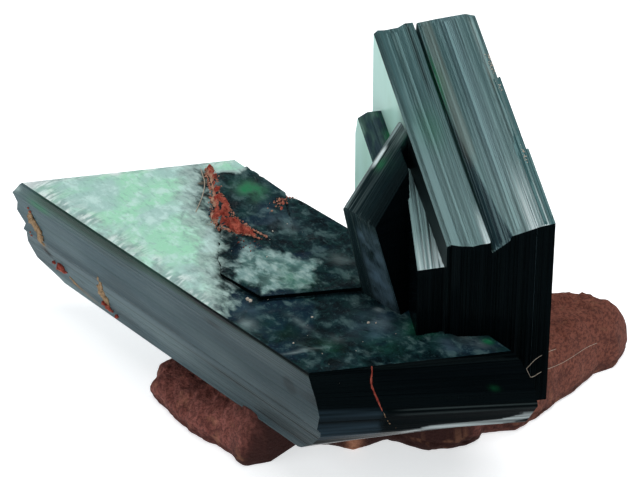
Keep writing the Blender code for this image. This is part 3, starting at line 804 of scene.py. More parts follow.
def top_masks(u, v):
    """Tints of the large blade's top at places along and across it, with a painted shadow beside the raised
    sheet's step and painted glints and highlights.
    """
    place = flat3(u, v)
    wander = rough(place, 1.6, 3, 5) * 0.8
    patches = 0.75 + 0.6 * rough(place, 1.4, 4, 61, 0.7)
    in_pearl = within(u, v, PEARL_OUTLINE)
    silver_and_highlight = 0.95 * eased(within(u, v, SILVER_OUTLINE) + 0.5 * wander, -0.5, 1)
    blotch = band(in_pearl + 0.9 * rough(place, 1.1, 4, 71, 0.7), -1.5, -0.15, 0.3) * eased(u, -31, -26)
    blotch = blotch * eased(u, -17, -19.5) * np.clip(patches, 0, 1)
    night = eased(patches, 0.35, 0.9) * band(u, -13, 9, 2)
    night = night * eased(v - 0.4 * u, 9, 4) * eased(v, 0.5, 2.5)
    path = np.array(CRUST_PATH)[:, :2]
    from_crust = np.min([segment_distance(u, v, *a, *b) for a, b in zip(path[:-1], path[1:])], axis=0)
    crumbly = eased(from_crust + 0.8 * rough(place, 0.9, 3, 77), 1.5, 0.5) * eased(u, -21, -25)
    crumbly = crumbly * eased(in_pearl, -1.2, 0.3) * eased(rough(place, 0.7, 2, 78), -0.4, 0.5)
    shadow = band(within(u, v, SHEET_OUTLINE), -0.4, -0.02, 0.1) * eased(u, -21, -19) * eased(v, 3.2, 4.2)
    stroke = eased(v + wander, 3.6, 0.4) * (0.65 + wander) + 0.5 * eased(v - 1.41 * (u + 51.2), -2.6, -0.6)
    masks = {key: patches * spots(u, v, rows) for key, rows in TOP_MOTTLED.items()}
    from_u, from_v = u + 3.3, v - 1.8            # middle of a slanting scratch
    scratch = (0.511 * from_u + 0.859 * from_v, 0.511 * from_v - 0.859 * from_u)
    masks["light"] += 0.5 * spot(*scratch, 0, 0, 1.7, 0.2)
    for key, rows in TOP_GLINTS.items():
        masks[key] += spots(u, v, rows)
    masks = clipped({**masks, "stroke": stroke, "tan": 0.65 * crumbly,
                     "dark": 0.4 * blotch * eased(v, 2, 4.5) + 0.9 * shadow + 0.75 * night})
    # Painted highlights: the white spots and the whiter strip at the left end, joined to the silvery patch in
    # one mask.
    masks["silver_and_highlight"] = (np.clip(silver_and_highlight + wander * 0.3, 0, 1) * (silver_and_highlight > 0.02) + spots(u, v, TOP_PAINTED_HIGHLIGHTS)
                       + 0.7 * eased(u, -48.5, -50.5))
    masks["pearl"] = np.maximum(in_pearl, 5 * within(u, v, NOTCH_OUTLINE))
    return masks


def paint_large(side, x, y, along, depth):
    """Masks of the large blade: its top's own, then bands and smudges of its long side and of its front, with
    a painted glint at the left end of its long side and painted highlights along a strip of its front.
    """
    masks = {key: np.zeros(len(x)) for key in MASKS}
    masks.update({key: np.where(side < 0, numbers, 0) for key, numbers in top_masks(x, y).items()})
    u = along + BLADE_OUTLINE[0][0]
    from_tip = u + 46
    cloud = noise(flat3(along / 9, depth / 1.6, 2), 1, 6)
    streak = 0.6 + 0.4 * noise(flat3(along / 6, depth * 5, 4), 1, 3)
    rim = eased(depth, 1.7 - 0.022 * (u + 45) + 0.3 * cloud, 0.7 - 0.012 * (u + 45) + 0.3 * cloud)
    rim = rim * eased(u, -50.5, -46)
    end_mark = band(depth, 1.5 + 0.06 * from_tip, 2.3 + 0.03 * from_tip, 0.3) * band(u, -48.2, -44.5, 1.2)
    strip = np.interp(along, [8.7, 10.3, 16.9, 19.5], [7.9, 7.3, 7, 6])
    fine_lines = bands(depth, [(1, 4.9, 5, 0.05), (1, 4.2, 4.35, 0.05)])
    blue_bands = bands(depth, [(0.17, 3.95, 5.3, 0.12), (0.2, 5.85, 8.3, 0.2)])
    on_left = {
        "green": 0.38 * rim + 0.1 * band(depth, 0.4, 2.2, 0.8) * eased(u, -20, -45) + 0.45 * end_mark,
        "dark": (0.52 * rim + 0.5 * band(depth, 6.6, 6.85, 0.12) * eased(u, -41, -35)
                 + 0.22 * eased(np.hypot(u + 4, (depth - 3.2) / 0.95), 1.1, 0.75)
                 + bands(depth, [(0.35, 7.85, 8, 0.06), (0.3, 9.65, 9.8, 0.06)])
                 + 0.25 * eased(cloud, 0.1, 0.7) + 0.5 * spot(u, depth, -15.6, 1.9, 1.5, 0.3) * streak
                 + 0.95 * spot(u, depth - 0.28 * (u + 47), -47.2, 8, 1, 0.32)
                 + spots(u, depth, [(0.8, -43.6, 10, 0.5, 0.12), (0.7, -40.9, 8.9, 0.12, 0.12)])
                 + 0.55 * eased(u, -38, 0)),
        "light": (0.1 * eased(cloud, -0.1, -0.8) + 0.14 * band(depth, 5.6, 6.45, 0.3) * eased(u, -22, -8)
                  + 0.1 * band(depth, 7, 9.6, 0.6)
                  + 0.25 * eased(depth, 9.2, 10.4) * eased(u, -42, -50)
                  # Painted glint at the rounded left end.
                  + 0.9 * spot(u, depth, -51, 1.2, 0.5, 0.6)),
        "tan": 0.55 * spots(u, depth, [(1, -42.4, 10.3, 1.6, 0.35), (1, -47.8, 7, 0.5, 0.7)])}
    on_front = {
        # Painted highlights along a strip of the front.
        "silver_and_highlight": streak * 0.5 * eased(along, 7.6, 9.5) * band(depth, strip - 0.35, strip + 0.75, 0.1),
        "light": streak * 0.1 * eased(along, 6.5, 8) * fine_lines,
        "sky": streak * eased(along, 6, 5.4) * blue_bands,
        "green": 0.14 * spot(along, depth, 16, 2.45, 0.35, 0.25)}
    for here, added in ((side == 0, on_left), (side == 1, on_front)):
        for key, numbers in added.items():
            masks[key] += here * numbers
    pearl = masks.pop("pearl")
    return {**clipped(masks), "pearl": pearl}


def top_relief(u, v):
    """Fine relief of the top: feathery steps on the pearly side, broken flakes elsewhere."""
    pearl = eased(within(u, v, PEARL_OUTLINE), -0.3, 0.3)
    strokes = noise(flat3(u * 1.6 + v * 0.4, v * 0.35), 1, 9) * 0.05
    flakes = np.round(rough(flat3(u, v * 1.3), 3, 3, 4) * 3) * 0.035
    edge = np.clip(within(u, v, BLADE_OUTLINE) / 0.6, 0, 1)
    return (pearl * (strokes + 0.12) + (1 - pearl) * flakes) * edge


def paint_ribbed(side, x, y, up, depth):
    """Ribbed face of the tall blade, from the foot up, at a distance a across it; with painted shade in its
    grooves and on the dark blue facet, painted light on the groove's right wall, painted glints near its
    foot, and painted shade on the broad face towards the front.
    """
    a = np.interp(depth, [0, 3.8, TALL_THICK], [0, 3.7, TALL_FACE])
    ribs = side == 0
    navy_edge = 3.75 + 2.15 * (1 - up / 14)
    streak, fine = streaks(up, a, 12, 6, 1, 8), streaks(up, a, 9, 11, 1, 9)
    # Painted shade: the dark blue facet beside the groove faces away from the light.
    navy_facet_shade = eased(a, 3.7, 3.8) * eased(a, navy_edge + 0.12, navy_edge - 0.12) * eased(up, 14.5, 12)
    # The first two terms are painted shade in the two grooves.
    dark = (0.95 * band(a, 3.58, 3.75, 0.08) + 0.8 * band(a, 2.62, 2.85, 0.08) * eased(up, 14, 18)
            + bands(a, [(0.5, 1.35, 1.43, 0.05), (0.5, 2.85, 2.93, 0.05)]) + 0.6 * eased(a, 0.3, 0.1)
            + 0.3 * navy_facet_shade * streak + 0.5 * eased(fine, 0.6, 0.85) * band(a, 7, 9, 0.3) * eased(up, 14, 4))
    ring_mark = np.abs(np.hypot(a - 4.6, up - 3) - 0.42) < 0.07
    light = (0.06 + 0.24 * eased(up, 20, 2) + bands(a, [(0.14, 6.2, 9, 0.8), (0.12, 9.3, 10.3, 0.4)])
             + 0.9 * streak * band(a, 9.5, 9.9, 0.08) * band(up, 16.5, 23, 0.5) + 0.2 * ring_mark)
    # Painted glints near the foot.
    silver_and_highlight = (0.3 + 0.7 * eased(fine, 0.3, 0.7)) * 0.9 * (band(a, 7.9, 10.4, 0.3) * eased(up, 8.5, 0.5)
                                                          + band(a, 2.9, 3.45, 0.1) * eased(up, 4.5, 0.5))
    # Painted light: a tan-grey band where the groove's right wall is lit; the second term is a tan patch
    # along the notch edge.
    tan = (0.2 * band(a, 4, 5.2, 0.3) * band(up, 9, 24, 1.5)
           + 0.5 * band(a, 9.6, 10.2, 0.1) * band(up, 15, 17.5, 0.5) * streak)
    green = (0.6 * band(a, 3.45, 3.95, 0.12) * band(up, 14.5, 20.5, 1.5)
             + spots(up, a, [(0.3, 17.5, 4.2, 1.6, 0.5), (0.28, 12.5, 1.8, 2.2, 1.1)])
             + 0.25 * band(a, 3.6, 3.8, 0.08) * eased(up, 14, 10))
    masks = {"dark": dark, "blue": (0.6 + 0.3 * streak) * navy_facet_shade, "light": light * (1 - navy_facet_shade), "tan": tan,
             "green": green, "sky": 0.18 * band(a, 6, 8, 0.8) * eased(up, 2, 8), "silver_and_highlight": silver_and_highlight}
    masks = {key: ribs * numbers for key, numbers in masks.items()}
    # Painted shade: the broad face darkens towards the front, where it lies in shade.
    masks["dark"] += (side == -1) * eased(x, -13.5, -9.5)
    return clipped(masks)


def paint_side(side, x, y, along, depth):
    """Painted light and shade: its ribbed face is lit in a wedge that widens to the foot, with painted glints
    along the wedge's rim and foot, and shaded dark beyond it.
    """
    ribs = side == 0
    streak = streaks(along, depth, 12, 7, 1, 4)
    edge = 2.65 - 0.13 * along
    wedge = eased(depth, edge + 0.1, edge - 0.1)
    grooves = bands(depth, [(0.9, 0.72, 0.84, 0.05), (0.9, 1.5, 1.66, 0.05), (0.45, 2.1, 2.16, 0.04)])
    foot_lines = 0.7 * eased(streak, 0.3, 0.7) * eased(along, 4.5, 0.2) * wedge
    rim = 0.95 * band(depth, edge - 0.4, edge - 0.05, 0.08) * eased(along, 2.8, 0.6)
    return clipped({"light": ribs * (0.32 + 0.4 * streak * eased(along, 8, 0.3)) * wedge,
                    "silver_and_highlight": ribs * np.maximum(foot_lines, rim), "dark": ribs * grooves,
                    "blue": ribs * 0.85 * eased(depth, edge - 0.05, edge + 0.1)})


def paint_lean(side, x, y, along, depth):
    """Painted light: two green glows, a silvery highlight and a glint along the bevel, and streaks on its
    upper face; a painted blue sheen on its lower face.
    """
    upper, lower = side == 0, side == 5
    streak = streaks(along, depth, 5, 9, 1, 14)
    patches = 0.55 + 0.5 * rough(flat3(along, depth), 1.6, 4, 81, 0.6)
    glow = 0.2 * patches * spot(along, depth, 8.6, 3, 2, 1.4)
    glow = 0.55 * spot(along, depth, 5.8, 1.7, 0.7, 0.45) + glow
    lines = eased(noise(flat3(along / 7, depth * 10, 3), 1, 15), 0.1, 0.8)
    bevel = (0.45 * band(depth, 0.1, 1, 0.12) * streak + 0.3 * lines * eased(depth, 3.2, 1)
             + 0.5 * streak * band(depth, 0.6, 2.4, 0.3) * eased(along, 7.5, 10))
    glint = (band(depth, 0.8, 1.2, 0.1) * band(along, 5.3, 7.6, 0.5)
             + 0.4 * band(depth, 0.1, 0.3, 0.08) * band(along, 7, 10.5, 0.8))
    sheen = lower * band(depth, 2, 4.9, 0.6) * band(along, 1, 10.5, 1.2) * np.clip(patches, 0, 1.2)
    return clipped({"green": upper * glow, "silver_and_highlight": upper * glint, "light": upper * bevel + 0.1 * sheen,
                    "sky": 0.7 * sheen, "dark": upper * 0.7 * eased(depth, 3, 4.6)})


def paint_rear(side, x, y, along, depth):
    """Green and pale glints near the end of the rear blade's top face."""
    top = side == 4
    patches = np.clip(0.5 + 0.7 * rough(flat3(along, depth * 2), 1.4, 4, 91, 0.6), 0, 1)
    return clipped({"green": top * patches * (0.6 * band(depth, 1.7, 2.9, 0.3) + 0.25),
                    "light": top * 0.35 * patches * patches, "sky": top * 0.25 * (1 - patches)})


def paint_none(side, x, y, along, depth):
    """No masks: the finishes' own colours."""
    return {}


def tall_wave(side, along, depth):
    """The ribbed face's own unevenness: slow waves, and a chip out of its right edge."""
    chip = spot(along, depth, 8.3, 8.5, 0.9, 0.35) * 0.45
    return np.where(side == 0, -chip + 0.03 * noise(flat3(along, depth * 3), 2.5, 21), 0)


def raised_sheet(finish, side_finish):
    """Thin sheet on the large blade's top: rings that shrink from its outline to its middle, on a wall."""
    corners = np.array(SHEET_OUTLINE)
    ends = np.roll(corners, -1, axis=0)
    steps, rings = 26, 44
    middle = np.array([-18.5, 13])
    share = np.arange(steps) / steps
    ring = (corners[:, None] + (ends - corners)[:, None] * share[None, :, None]).reshape(-1, 2)
    ragged = np.where(np.repeat(np.arange(len(corners)), steps) >= 2, 0.16, 0.015)
    place = flat3(ring[:, 0], ring[:, 1])
    ring = ring + np.stack([noise(place, 0.55, 3), noise(place, 0.55, 8)], axis=1) * ragged[:, None]
    back = 15.8 + (11.4 - ring[:, 0]) * 3.2 / 48.7 - 0.08      # just inside the large blade's back edge
    past = eased(ring[:, 0], -25.8, -24.4) * eased(ring[:, 0], -8, -15) * (18.38 - back)
    foot = np.stack([ring[:, 0], np.minimum(ring[:, 1], back - 0.05)], axis=1)
    ring[:, 1] = np.minimum(ring[:, 1], back + np.maximum(past, 0))
    total = len(ring)
    inner, cap, tris = cap_star(ring, rings, 2 * total, middle)
    flat = np.concatenate([ring, middle + (ring - middle) * 0.998, inner, foot])
    base = len(flat) - total
    grow = np.concatenate([np.zeros(2 * total), np.minimum(1, np.repeat(np.arange(1, rings), total) / 3), [1],
                           np.zeros(total)])
    rise = SHEET_RISE + grow * np.round(rough(flat3(flat[:, 0], flat[:, 1] * 1.4), 3.4, 3, 12) * 3) * 0.03
    rise[:total] -= 0.03
    rise[base:] = -0.35
    wall = grid_faces(2, total, closed=True)
    quads = np.concatenate([wall[:, ::-1], np.where(cap < total, cap + total, cap),
                            np.where(wall < total, wall, wall - total + base)])
    masks = {key: np.zeros(len(flat)) for key in MASKS}
    masks.update(top_masks(flat[:, 0], flat[:, 1]))
    for key in ("light", "silver_and_highlight", "green", "sky", "tan"):
        masks[key][:total] = masks[key][base:] = 0
    uv = np.concatenate([flat[quads.ravel()], flat[tris.ravel()]])
    kinds = np.zeros(len(quads) + len(tris), int)
    kinds[len(quads) - total:len(quads)] = 1
    surface("raised_sheet", lift(LARGE, flat[:, 0], flat[:, 1], -rise), [quads, tris], [finish, side_finish],
            kinds, uv, masks, node="crystal_cluster")


def skin_shape(start, rise):
    """A further layer on the tall blade's far side that begins lower down its ribbed face."""
    slope = np.array(TALL["outline"][1])
    top = unit(slope) * (np.linalg.norm(slope) - start)
    base, thick = TALL_THICK - SKIN_SUNK, SKIN_SUNK + rise
    along, up, normal, corner = TALL["frame"]
    reach = [np.interp(base, *np.array(rows)[:, [0, 1]].T) for rows in (TALL_SIDES[0], TALL_SIDES[3])]
    return {"frame": (along, up, normal, corner - normal * base), "thick": thick,
            "outline": [(0, 0), tuple(top), (top[0], SKIN_FOOT), (0, SKIN_FOOT)],
            "sides": [even((0, reach[0]), (SKIN_SUNK, 4.95), (thick, 5.1)), even((0, -4.5), (thick, -4.9)),
                      even((0, -1), (thick, -1.2)),
                      even((0, reach[1]), (SKIN_SUNK, 4.3), (thick, 4.42))]}


def rock_reach(angles):
    """Distance from the rock's middle to its outline along each angle, by crossing rays with its segments."""
    a = np.array(ROCK_OUTLINE) - ROCK_MIDDLE
    b = np.roll(a, -1, axis=0)
    run = b - a
    ray = np.stack([np.cos(angles), np.sin(angles)], axis=-1)[:, None, :]
    cross = ray[..., 0] * run[:, 1] - ray[..., 1] * run[:, 0]
    with np.errstate(divide="ignore"):       # a ray can run along a segment's direction
        reach = (a[:, 0] * run[:, 1] - a[:, 1] * run[:, 0]) / cross
        share = (a[:, 0] * ray[..., 1] - a[:, 1] * ray[..., 0]) / cross
    found = np.where((reach > 0) & (share >= 0) & (share <= 1), reach, 1e9)
    return found.min(axis=1)


def rock_top(x, y):
    """Height of the rock's top above the ground: a rise to the right, a hump, lumps, ridges and grains."""
    place = flat3(x, y, 3)
    height = ROCK_LOW + (ROCK_HIGH - ROCK_LOW) * eased(x, *ROCK_RISE)
    hump_x, hump_y, radius, extra = ROCK_HUMP
    height = height + extra * np.exp(-((x - hump_x) ** 2 + (y - hump_y) ** 2) / radius ** 2)
    height = height + 0.4 * noise(place, 5.2, 1) + 0.22 * ridged(place, 2.6, 3, 2)
    steps = np.round((height + 0.5 * rough(place, 2.2, 3, 8)) * 1.6) / 1.6
    return height * 0.45 + steps * 0.55 + 0.14 * rough(place, 0.8, 4, 3, 0.65) - 0.2


def rock(finish):
    """Broken piece of rock: rings out to a ragged edge, down its rim and back under its flat foot."""
    spokes, rings = 520, 110
    angles = np.arange(spokes) * math.tau / spokes
    circle = flat3(np.cos(angles) * 9, np.sin(angles) * 9)
    ragged = rock_reach(angles) * (0.985 + 0.022 * rough(circle, 1.4, 4, 6))
    share = np.linspace(0.02, 1, rings) ** 0.85
    drop = np.linspace(0, 1, 14)[1:]
    foot = np.array([0.9, 0.6, 0.3, 0.06])
    shares = np.concatenate([share, np.ones(len(drop)), foot])
    reach = ragged[None, :] * shares[:, None]
    x = ROCK_MIDDLE[0] + np.cos(angles) * reach
    y = ROCK_MIDDLE[1] + np.sin(angles) * reach
    top = rock_top(x, y)
    fall = np.sqrt(np.maximum(0, 1 - (np.maximum(shares - 0.86, 0) / 0.14) ** 2))[:, None]
    height = ROCK_EDGE + (top - ROCK_EDGE) * fall
    rim = slice(rings, rings + len(drop))
    height[rim] = ROCK_EDGE * (1 - drop)[:, None]
    chips = rough(np.stack([x[rim], y[rim], height[rim] * 2], axis=-1), 1.3, 4, 11)
    inward = 0.35 * np.clip(chips + 0.2, 0, 1) * np.sin(drop * math.pi)[:, None]
    inward = inward + 0.5 * drop[:, None] ** 4
    x[rim] -= np.cos(angles) * inward
    y[rim] -= np.sin(angles) * inward
    height[rings + len(drop):] = 0
    points = np.stack([x, y, ROCK_GROUND + height], axis=-1).reshape(-1, 3)
    hubs = np.array([[*ROCK_MIDDLE, ROCK_GROUND + ROCK_HIGH], [*ROCK_MIDDLE, ROCK_GROUND]])
    faces = [grid_faces(len(shares), spokes, closed=True), ring_ends(len(shares), spokes)[:, ::-1]]
    points = np.concatenate([points, hubs])
    deep = rough(points, 2.2, 5, 30, 0.65)
    x, y, z = points.T
    # Painted shade: the rock darkens under the large blade's front and along the foot of its rim; the noise
    # term and the spot are random dark patches.
    shaded = band(x, -6, 17, 2) * eased(y, 15, 11)
    shade = 0.4 * eased(deep, -0.1, -0.8) + 0.6 * eased(z, ROCK_GROUND + 1.7, ROCK_GROUND + 0.5) + 1 * shaded
    shade = shade + 0.6 * spot(x, y, -5.5, 9.5, 3, 4) * eased(deep, 0.4, -0.2)
    orange = 0.8 * spot(x, y, 4.6, 10.6, 0.8, 0.8) + 0.35 * spot(x, y, 21.5, 18, 1.8, 1.8)
    masks = {"dark": np.clip(shade, 0, 1) * (1 - np.clip(orange, 0, 0.8)),
             "tan": np.clip(0.25 * eased(rough(points, 0.9, 3, 44), 0.5, 0.9) + orange, 0, 1)}
    surface("rock", points, faces, [finish], values=masks, sharp=0, node="matrix", slot="rock")


def crust(name, path, height, finish, seed, node):
    """Lumpy ridge along a crooked path: half rings that swell with its width, broken up by noise."""
    corners = np.array(path)
    steps, around = 26, 40
    run = np.linspace(0, len(corners) - 1, (len(corners) - 1) * steps)
    u, v, width = (np.interp(run, np.arange(len(corners)), corners[:, k]) for k in range(3))
    ahead = unit(np.stack([np.gradient(u), np.gradient(v)], axis=1))
    angle = np.arange(around) * math.tau / around
    width = np.maximum(width * eased(np.minimum(run, run[-1] - run), -0.25, 0.35), 0.02)
    out = np.cos(angle)[None, :] * width[:, None]
    rise = np.sin(angle)[None, :] * height * (0.5 + 0.5 * width[:, None])
    rise = np.where(rise < 0, rise * 0.3, rise)
    place = np.stack([u[:, None] + out * 0.8, v[:, None] + out, rise], axis=-1)
    swell = 0.62 + 0.42 * rough(place, 1.3, 5, seed, 0.6)
    flat_u = u[:, None] - ahead[:, 1][:, None] * out * np.clip(swell + 0.25, 0.3, 1.25)
    flat_v = v[:, None] + ahead[:, 0][:, None] * out * np.clip(swell + 0.25, 0.3, 1.25)
    rise = np.minimum(rise * swell, height)
    rise = rise * (0.55 + 0.45 * eased(np.abs(noise(place * 1, 0.8, seed + 3)), 0, 0.35))
    points = lift(LARGE, flat_u.ravel(), flat_v.ravel(), -(rise.ravel() + 0.1))
    ends = np.array([points[:around].mean(axis=0), points[-around:].mean(axis=0)])
    faces = [grid_faces(len(run), around, closed=True)[:, ::-1], ring_ends(len(run), around)[:, ::-1]]
    low = eased(rise.ravel(), 0.42, 0.12)
    # Painted shade: random dark patches stand in for the crust's crevices.
    painted_crevice_shade = 0.75 * eased(rough(place, 0.7, 3, seed + 9).ravel(), 0.1, -0.7) * (1 - low)
    masks = {"tan": np.concatenate([low * 0.75, [0, 0]]), "dark": np.concatenate([painted_crevice_shade, [0, 0]])}
    surface(name, np.concatenate([points, ends]), faces, [finish], values=masks, sharp=0, node=node,
            slot="oxide")


# Small things on the surfaces

def cord_points(route, count):
    """A smooth line through the route's points: each coordinate follows a cubic through its neighbours."""
    route = np.array(route, float)
    padded = np.concatenate([2 * route[:1] - route[1:2], route, 2 * route[-1:] - route[-2:-1]])
    run = np.linspace(0, len(route) - 1.000001, count)
    k = run.astype(int)
    t = (run - k)[:, None]
    p0, p1, p2, p3 = (padded[k + j] for j in range(4))
    return 0.5 * (2 * p1 + (p2 - p0) * t + (2 * p0 - 5 * p1 + 4 * p2 - p3) * t ** 2
                  + (3 * p1 - p0 - 3 * p2 + p3) * t ** 3)


def tube(points, radius, around=8, uneven=0, seed=0):
    """A round profile carried along a line, closed at both ends: points and faces."""
    ahead = unit(np.gradient(points, axis=0))
    aside = unit(np.cross(ahead, [0.13, 0.21, 0.97]))
    above = np.cross(aside, ahead)
    angle = np.arange(around) * math.tau / around
    radius = np.broadcast_to(radius, len(points))[:, None, None]
    spread = np.cos(angle)[None, :, None] * aside[:, None] + np.sin(angle)[None, :, None] * above[:, None]
    wide = 1 + uneven * noise(points[:, None] + spread * radius * 2, 0.35, seed)[..., None]
    rings = points[:, None] + spread * radius * wide
    flat = np.concatenate([rings.reshape(-1, 3), points[[0, -1]]])
    walls = grid_faces(len(points), around, closed=True)
    return flat, walls[:, ::-1], ring_ends(len(points), around)[:, ::-1]


def joined(parts):
    """Several (points, quads, triangles) as one."""
    shift = np.cumsum([0] + [len(points) for points, _, _ in parts])
    return (np.concatenate([points for points, _, _ in parts]),
            np.concatenate([quads + s for (_, quads, _), s in zip(parts, shift)]),
            np.concatenate([tris + s for (_, _, tris), s in zip(parts, shift)]))


def threads(name, parts, finish, node, slot="oxide", **masks):
    """Several tubes as one piece, with the same masks all over."""
    points, quads, tris = joined(parts)
    values = {key: np.full(len(points), masks.get(key, 0)) for key in ("dark", "tan")}
    return surface(name, points, [quads, tris], [finish], values=values, sharp=0, node=node, slot=slot)


ICO = (1 + math.sqrt(5)) / 2
ICO_POINTS = np.array([(-1, ICO, 0), (1, ICO, 0), (-1, -ICO, 0), (1, -ICO, 0), (0, -1, ICO), (0, 1, ICO),
                       (0, -1, -ICO), (0, 1, -ICO), (ICO, 0, -1), (ICO, 0, 1), (-ICO, 0, -1),
                       (-ICO, 0, 1)]) / 1.902
ICO_FACES = np.array([(0, 11, 5), (0, 5, 1), (0, 1, 7), (0, 7, 10), (0, 10, 11), (1, 5, 9), (5, 11, 4),
                      (11, 10, 2), (10, 7, 6), (7, 1, 8), (3, 9, 4), (3, 4, 2), (3, 2, 6), (3, 6, 8),
                      (3, 8, 9), (4, 9, 5), (2, 4, 11), (6, 2, 10), (8, 6, 7), (9, 8, 1)])


def crumbs(name, centres, sizes, finish, node, seed, slot="oxide", tan=0, dark=0):
    """Grains: a twenty-sided lump at each centre, its corners pulled in and out at random."""
    drawn = np.random.default_rng(seed)
    uneven = drawn.uniform(0.6, 1.15, (len(centres), 12, 1))
    squash = drawn.uniform(0.6, 1.1, (len(centres), 1, 3))
    points = centres[:, None] + ICO_POINTS * squash * uneven * np.asarray(sizes)[:, None, None]
    faces = (ICO_FACES + np.arange(len(centres))[:, None, None] * 12).reshape(-1, 3)
    shade = drawn.uniform(0, 1, len(centres))
    values = {"tan": np.repeat(np.clip(tan + (shade - 0.5) * 0.5, 0, 1), 12),
              "dark": np.repeat(np.clip(dark + (0.5 - shade) * 0.4, 0, 1), 12)}
    return surface(name, points.reshape(-1, 3), [faces], [finish], values=values, sharp=0, node=node,
                   slot=slot)


def filling(shape, side, route, widths, seed, rise=0.35):
    """A crack's filling on one side of a blade: a flattened tube through (along, depth) places, half sunk."""
    line = cord_points(route, 16 * len(route))
    run = np.linspace(0, len(widths) - 1, len(line))
    width = np.interp(run, np.arange(len(widths)), widths)
    place = on_side(shape, side, line[:, 0], line[:, 1])
    outward = on_side(shape, side, line[:, 0], line[:, 1], np.ones(len(line))) - place
    wide = width * 0.5 * (1 + 0.45 * rough(line[:, [0, 1, 0]], 0.9, 3, seed))
    points, quads, tris = tube(place, wide, 12, 0.5, seed)
    away = points[:-2].reshape(len(line), 12, 3) - place[:, None]
    sunk = (away * outward[:, None]).sum(axis=-1, keepdims=True) * outward[:, None] * (1 - rise)
    points = np.concatenate([(place[:, None] + away - sunk).reshape(-1, 3), points[-2:]])
    return points, quads, tris


def on_top(u, v, out=0):
    """Places on the large blade's top, raised by out."""
    return lift(LARGE, np.asarray(u, float), np.asarray(v, float), -np.asarray(out, float))


def on_sheet(u, v, beside, above=0):
    """Places on the large blade's top, or on the raised sheet where it lies there."""
    return on_top(u, v, np.where(within(u, v, SHEET_OUTLINE) > 0, SHEET_RISE + above, beside))


def small_things(rust, tan_stone, hair):
    """Crack fillings, grains, specks, the fibre on the crust and the loose hair."""
    drawn = np.random.default_rng(23)
    left, front = 0, 1
    threads("tan_crack_fillings", [
        filling(LARGE, left, [(2.45, 3.2), (2.65, 4), (2.9, 4.9), (3.1, 5.8), (3.2, 6.5), (3.4, 7.3)],
                [0.3, 0.85, 1.2, 1.3, 1, 0.3], 1, 0.25),
        filling(LARGE, left, [(14.3, 6), (14.2, 7.4), (14.3, 8.3), (14.8, 9.1), (15.1, 9.8)],
                [0.3, 0.7, 0.85, 0.95, 0.6], 2, 0.25),
        filling(LARGE, left, [(7.3, 9.4), (7.9, 9.8), (8.6, 10.1)], [0.2, 0.45, 0.15], 3),
    ], tan_stone, "crystal_cluster", tan=0.1)
    threads("red_crack_fillings", [
        filling(LARGE, front, [(6.05, 0.02), (5.75, 0.6), (5.4, 1.5), (5.38, 2.4), (5.5, 3.2), (5.7, 4.3)],
                [0.14, 0.22, 0.14, 0.26, 0.18, 0.06], 4),
    ], rust, "crystal_cluster", dark=0.4)
    route = [5.7, 6.1, 6.65, 7.5]
    along = np.interp(drawn.uniform(0, 3, 16), [0, 1, 2, 3], route) + 0.1 * drawn.normal(size=16)
    depth = np.interp(along, route, [4.3, 5.3, 6.2, 7.6])
    crumbs("front_grains", on_side(LARGE, front, along, depth), drawn.uniform(0.04, 0.1, 16), tan_stone,
           "crystal_cluster", 9, dark=0.5)

    def clusters(first, wide, second, narrow, rest):
        crowd, few = drawn.normal(size=24), drawn.normal(size=12)
        return np.concatenate([first + wide * crowd, second + narrow * few, rest])

    along = clusters(6.3, 0.34, 14.8, 0.25, [2.4, 2.6, 1.3, 1.5])
    depth = clusters(8.8, 0.2, 10, 0.2, [3, 3.3, 6.2, 6.6])
    size = drawn.uniform(0.25, 0.5, 40) * np.where(np.arange(40) < 36, 1, 0.6)
    crumbs("red_nodules", on_side(LARGE, left, along, depth, np.full(40, 0.02)), size, rust, "oxide_crust", 3,
           dark=0.25)
    path = np.array(CRUST_PATH)
    run = drawn.uniform(0, len(path) - 1, 420)
    u, v, width = (np.interp(run, np.arange(len(path)), path[:, k]) for k in range(3))
    out = drawn.normal(0, 1, len(run))
    u = u + out * width * 0.35 - 0.2
    v = v + np.where(out < 0, -1, 0.9) * width * drawn.uniform(0.7, 1.15, len(run))
    spread = drawn.normal(size=(60, 2))
    u = np.concatenate([u, -25.9 + 0.45 * spread[:, 0]])
    v = np.concatenate([v, 16.9 + 1 * spread[:, 1]])
    crumbs("crust_grains", on_sheet(u, v, 0.1, 0.02), 0.05 + 0.16 * drawn.uniform(0, 1, len(u)) ** 2, rust,
           "oxide_crust", 4, tan=0.4)
    u, v = drawn.uniform(-25.5, -20.5, 40), drawn.uniform(8.6, 10.4, 40)
    crumbs("dark_grains", on_sheet(u, v, 0.08), drawn.uniform(0.05, 0.13, 40), rust, "oxide_crust", 5,
           dark=0.7)
    u = np.concatenate([[-14.3, -13.98, -7.1, -18.6, -22, -5, -2.3, -1.7], drawn.uniform(-30, 6, 30)])
    v = np.concatenate([[3.45, 3.52, 6, 9.2, 12.6, 2, 9.3, 9.8], drawn.uniform(0.5, 15, 30)])
    size = np.concatenate([[0.32, 0.3, 0.17, 0.12, 0.16, 0.1, 0.16, 0.13], drawn.uniform(0.03, 0.07, 30)])
    crumbs("pale_specks", on_sheet(u, v, 0.02), size, hair, "crystal_cluster", 6, tan=0.9)
    along = np.concatenate([drawn.uniform(15, 19.5, 60), drawn.uniform(6.8, 9, 20)])
    depth = 8.75 - np.abs(drawn.normal(0, 0.16, 80))
    crumbs("edge_chips", on_side(TALL, 0, along, depth, np.zeros(80)), drawn.uniform(0.03, 0.11, 80), hair,
           "crystal_cluster", 8, tan=0.3)
    fibre = cord_points(on_top(*FIBRE_PATH), 60)
    threads("loose_fibre", [tube(fibre, FIBRE_RADIUS)], hair, "oxide_crust")
    threads("loose_hair", [tube(cord_points(strand, 60), HAIR_RADIUS, 6) for strand in HAIR_PATHS], hair,
            "matrix")


# Light, floor and camera

